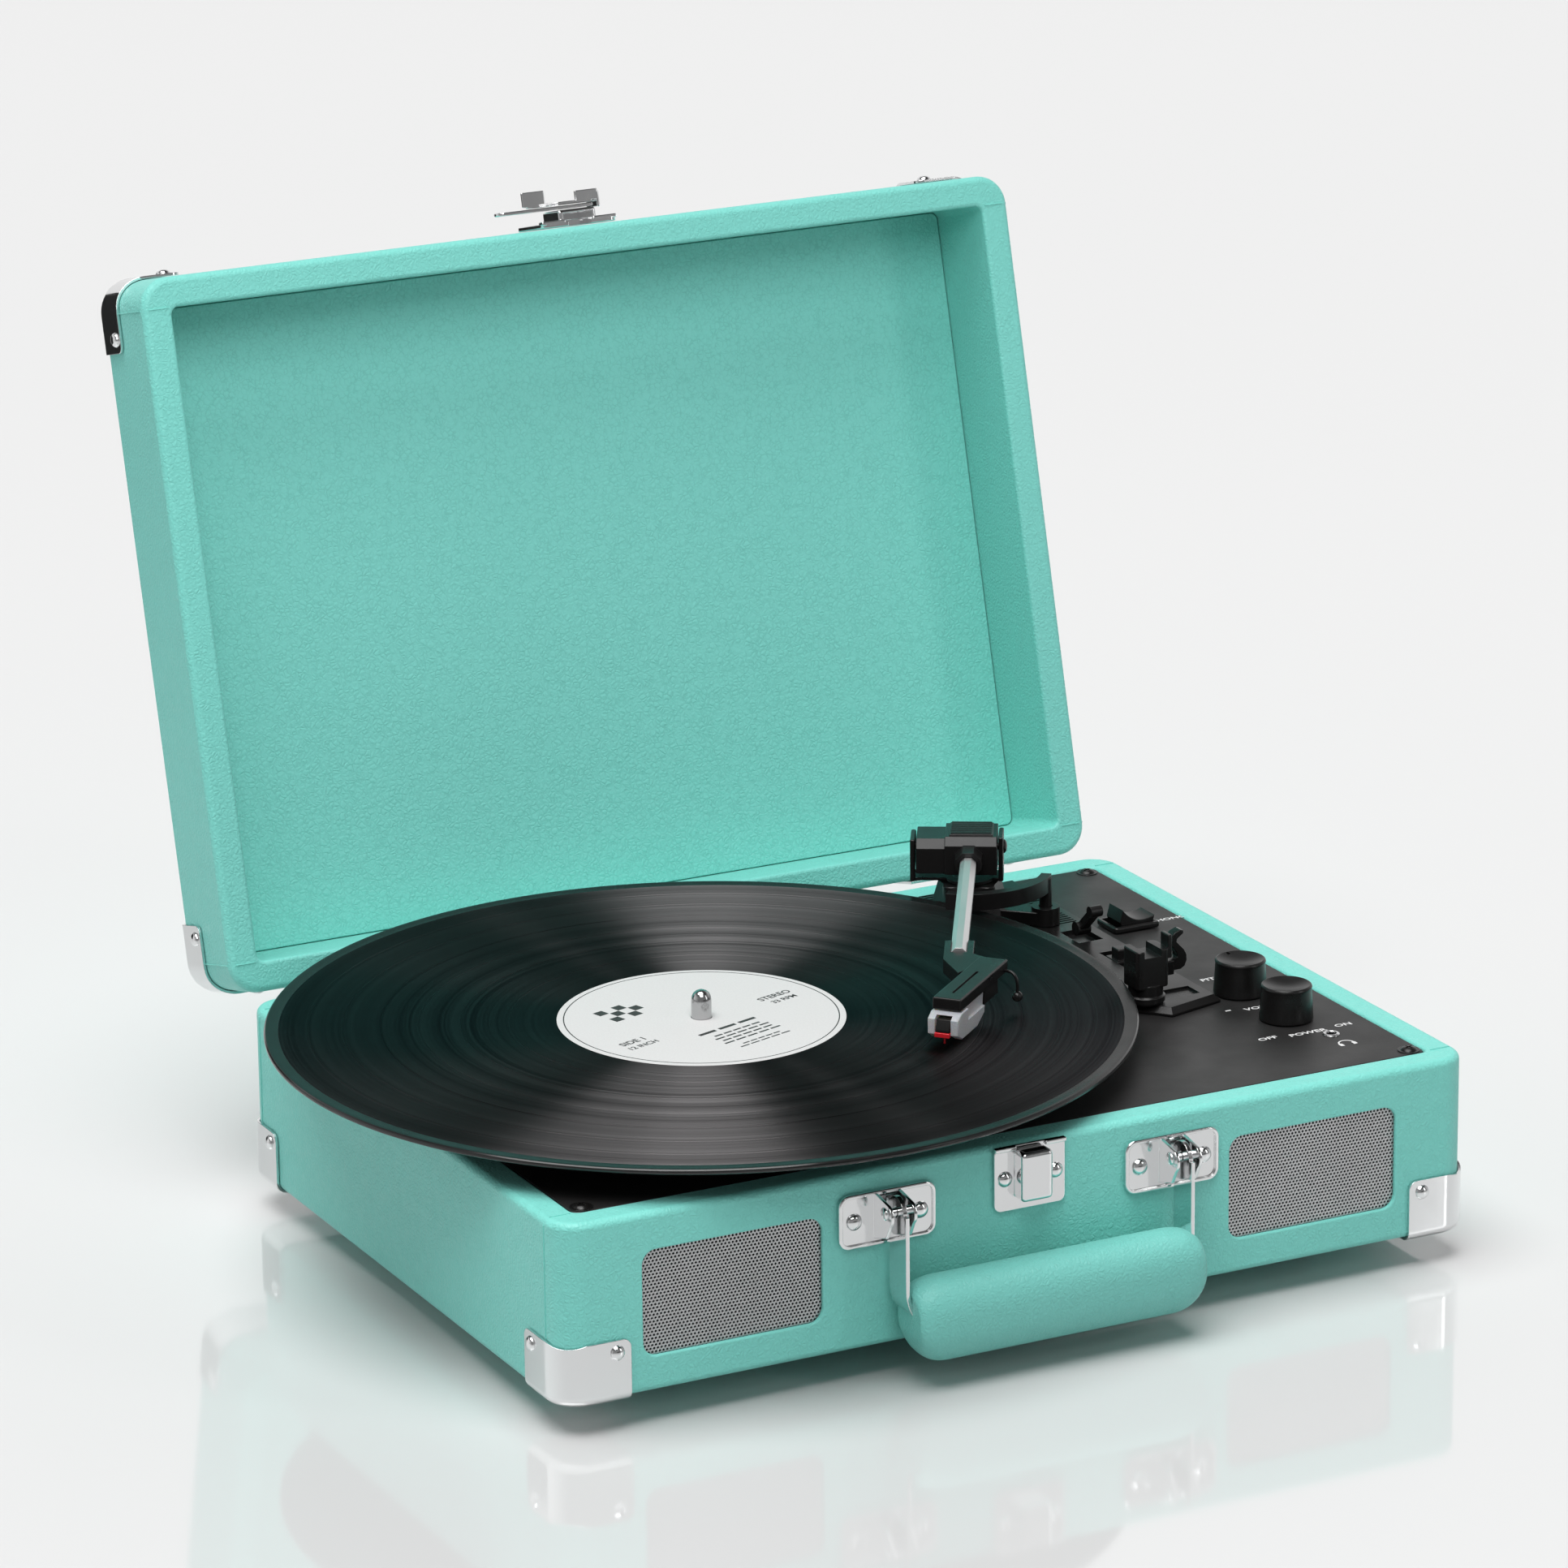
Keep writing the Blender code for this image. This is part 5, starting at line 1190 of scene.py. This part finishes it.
def studio():
    bm = bmesh.new()
    bmesh.ops.create_grid(bm, x_segments=2, y_segments=2, size=9.0)
    mesh = bpy.data.meshes.new("studio_floor")
    bm.to_mesh(mesh)
    bm.free()
    floor = bpy.data.objects.new("studio_floor", mesh)
    floor.location = (0, 0, FLOOR_Z * MM)
    bpy.context.scene.collection.objects.link(floor)
    mesh.materials.append(Look("studio_floor", (0.88, 0.88, 0.88), 0.06, Specular_IOR_Level=1.0).material)
    sky()
    light = bpy.data.lights.new("key", "SUN")
    light.energy, light.angle = 2.45, math.radians(46)
    aim("key", light, (-0.16, -0.02, 0.98), (0, 0, 0))
    softbox("strip", (1.5, -1.8, 1.0), (0, 0, 0.1), 0.35, 1.4, 5)
    overhead = softbox("overhead", (-0.30, -0.58, 0.98), (0, 0.1, 0.2), 0.6, 0.6, 6.0)
    spared = bpy.data.collections.new("not_lit_by_overhead")
    spared.objects.link(floor)
    spared.collection_objects[0].light_linking.link_state = "EXCLUDE"
    overhead.light_linking.receiver_collection = spared
    card("dark_card_left", (-0.46, 0.68, 0.2), (-0.18, 0.15, 0.35), 0.6, 0.4)
    card("dark_card_front", (0.5, -2.6, 0.1), (0, 0, 0.1), 1.6, 0.5)
    bpy.context.scene.view_settings.view_transform = "Standard"


def sky():
    """An even pale surround behind the object that falls off toward the front."""
    world = bpy.data.worlds.new("studio")
    world.use_nodes = True
    nodes, links = world.node_tree.nodes, world.node_tree.links
    place = nodes.new("ShaderNodeTexCoord")
    parts = nodes.new("ShaderNodeSeparateXYZ")
    links.new(place.outputs["Generated"], parts.inputs["Vector"])
    shares = []
    for axis, low, high, first, last in (("Y", -0.5, 0.4, 0.24, 0.84), ("Z", 0.42, 0.75, 1.0, 0.10)):
        fall = nodes.new("ShaderNodeMapRange")
        for socket, value in (("From Min", low), ("From Max", high), ("To Min", first), ("To Max", last)):
            fall.inputs[socket].default_value = value
        links.new(parts.outputs[axis], fall.inputs["Value"])
        shares.append(fall.outputs["Result"])
    product = nodes.new("ShaderNodeMath")
    product.operation = "MULTIPLY"
    for share, socket in zip(shares, product.inputs):
        links.new(share, socket)
    links.new(product.outputs["Value"], nodes["Background"].inputs["Strength"])
    nodes["Background"].inputs["Color"].default_value = (1, 1, 1, 1)
    bpy.context.scene.world = world


def aim(name, data, place, target):
    made = bpy.data.objects.new(name, data)
    made.location = place
    made.rotation_euler = (Vector(target) - Vector(place)).to_track_quat("-Z", "Y").to_euler()
    bpy.context.scene.collection.objects.link(made)
    return made


def softbox(name, place, target, width, height, power):
    light = bpy.data.lights.new(name, "AREA")
    light.shape, light.size, light.size_y, light.energy = "RECTANGLE", width, height, power
    return aim(name, light, place, target)


def card(name, place, target, width, height):
    """A black card out of the camera's view, for the chrome to mirror."""
    mesh = bpy.data.meshes.new(name)
    x, y = width / 2, height / 2
    mesh.from_pydata([(-x, -y, 0), (x, -y, 0), (x, y, 0), (-x, y, 0)], [], [(0, 1, 2, 3)])
    mesh.materials.append(Look(name, (0.01, 0.01, 0.01), 0.9).material)
    made = aim(name, mesh, place, target)
    made.visible_camera = made.visible_diffuse = made.visible_shadow = False


def camera():
    """A long lens, a little above the object and to its left."""
    data = bpy.data.cameras.new("camera")
    data.sensor_width = 36.0
    data.lens = 163.19
    data.clip_start, data.clip_end = 0.05, 60.0
    made = bpy.data.objects.new("camera", data)
    forward = Vector((0.43270, 0.85054, -0.29891)).normalized()
    right = Vector((0.88972, -0.45638, -0.01065))
    right = (right - forward * right.dot(forward)).normalized()
    up = right.cross(forward)
    rotation = Matrix((right, up, -forward)).transposed().to_4x4()
    made.matrix_world = Matrix.Translation((-1.08097, -2.07549, 0.88531)) @ rotation
    bpy.context.scene.collection.objects.link(made)
    bpy.context.scene.camera = made


case()
perforated("grille_mesh_left", "left", "speaker_grille_left")
perforated("grille_mesh_right", "right", "speaker_grille_right")
brackets("base", "base", HERE, 0.0, 0.0, 1, 21.0)
lid()
brackets("lid", "lid", LID, (LID_FRONT + LID_BACK) / 2, LID_TOP, -1, 17.5)
hinges()
feet()
catch()
striker()
handle_plates()
handle()
deck()
knobs()
deck_print()
rocker()
cue_lever()
speed_slider()
module_plate()
pedestal()
lift_platform()
yoke()
arm_block()
arm_tube()
headshell()
cartridge()
arm_rest()
turntable()
hidden_parts()
rear_panel()
studio()
camera()
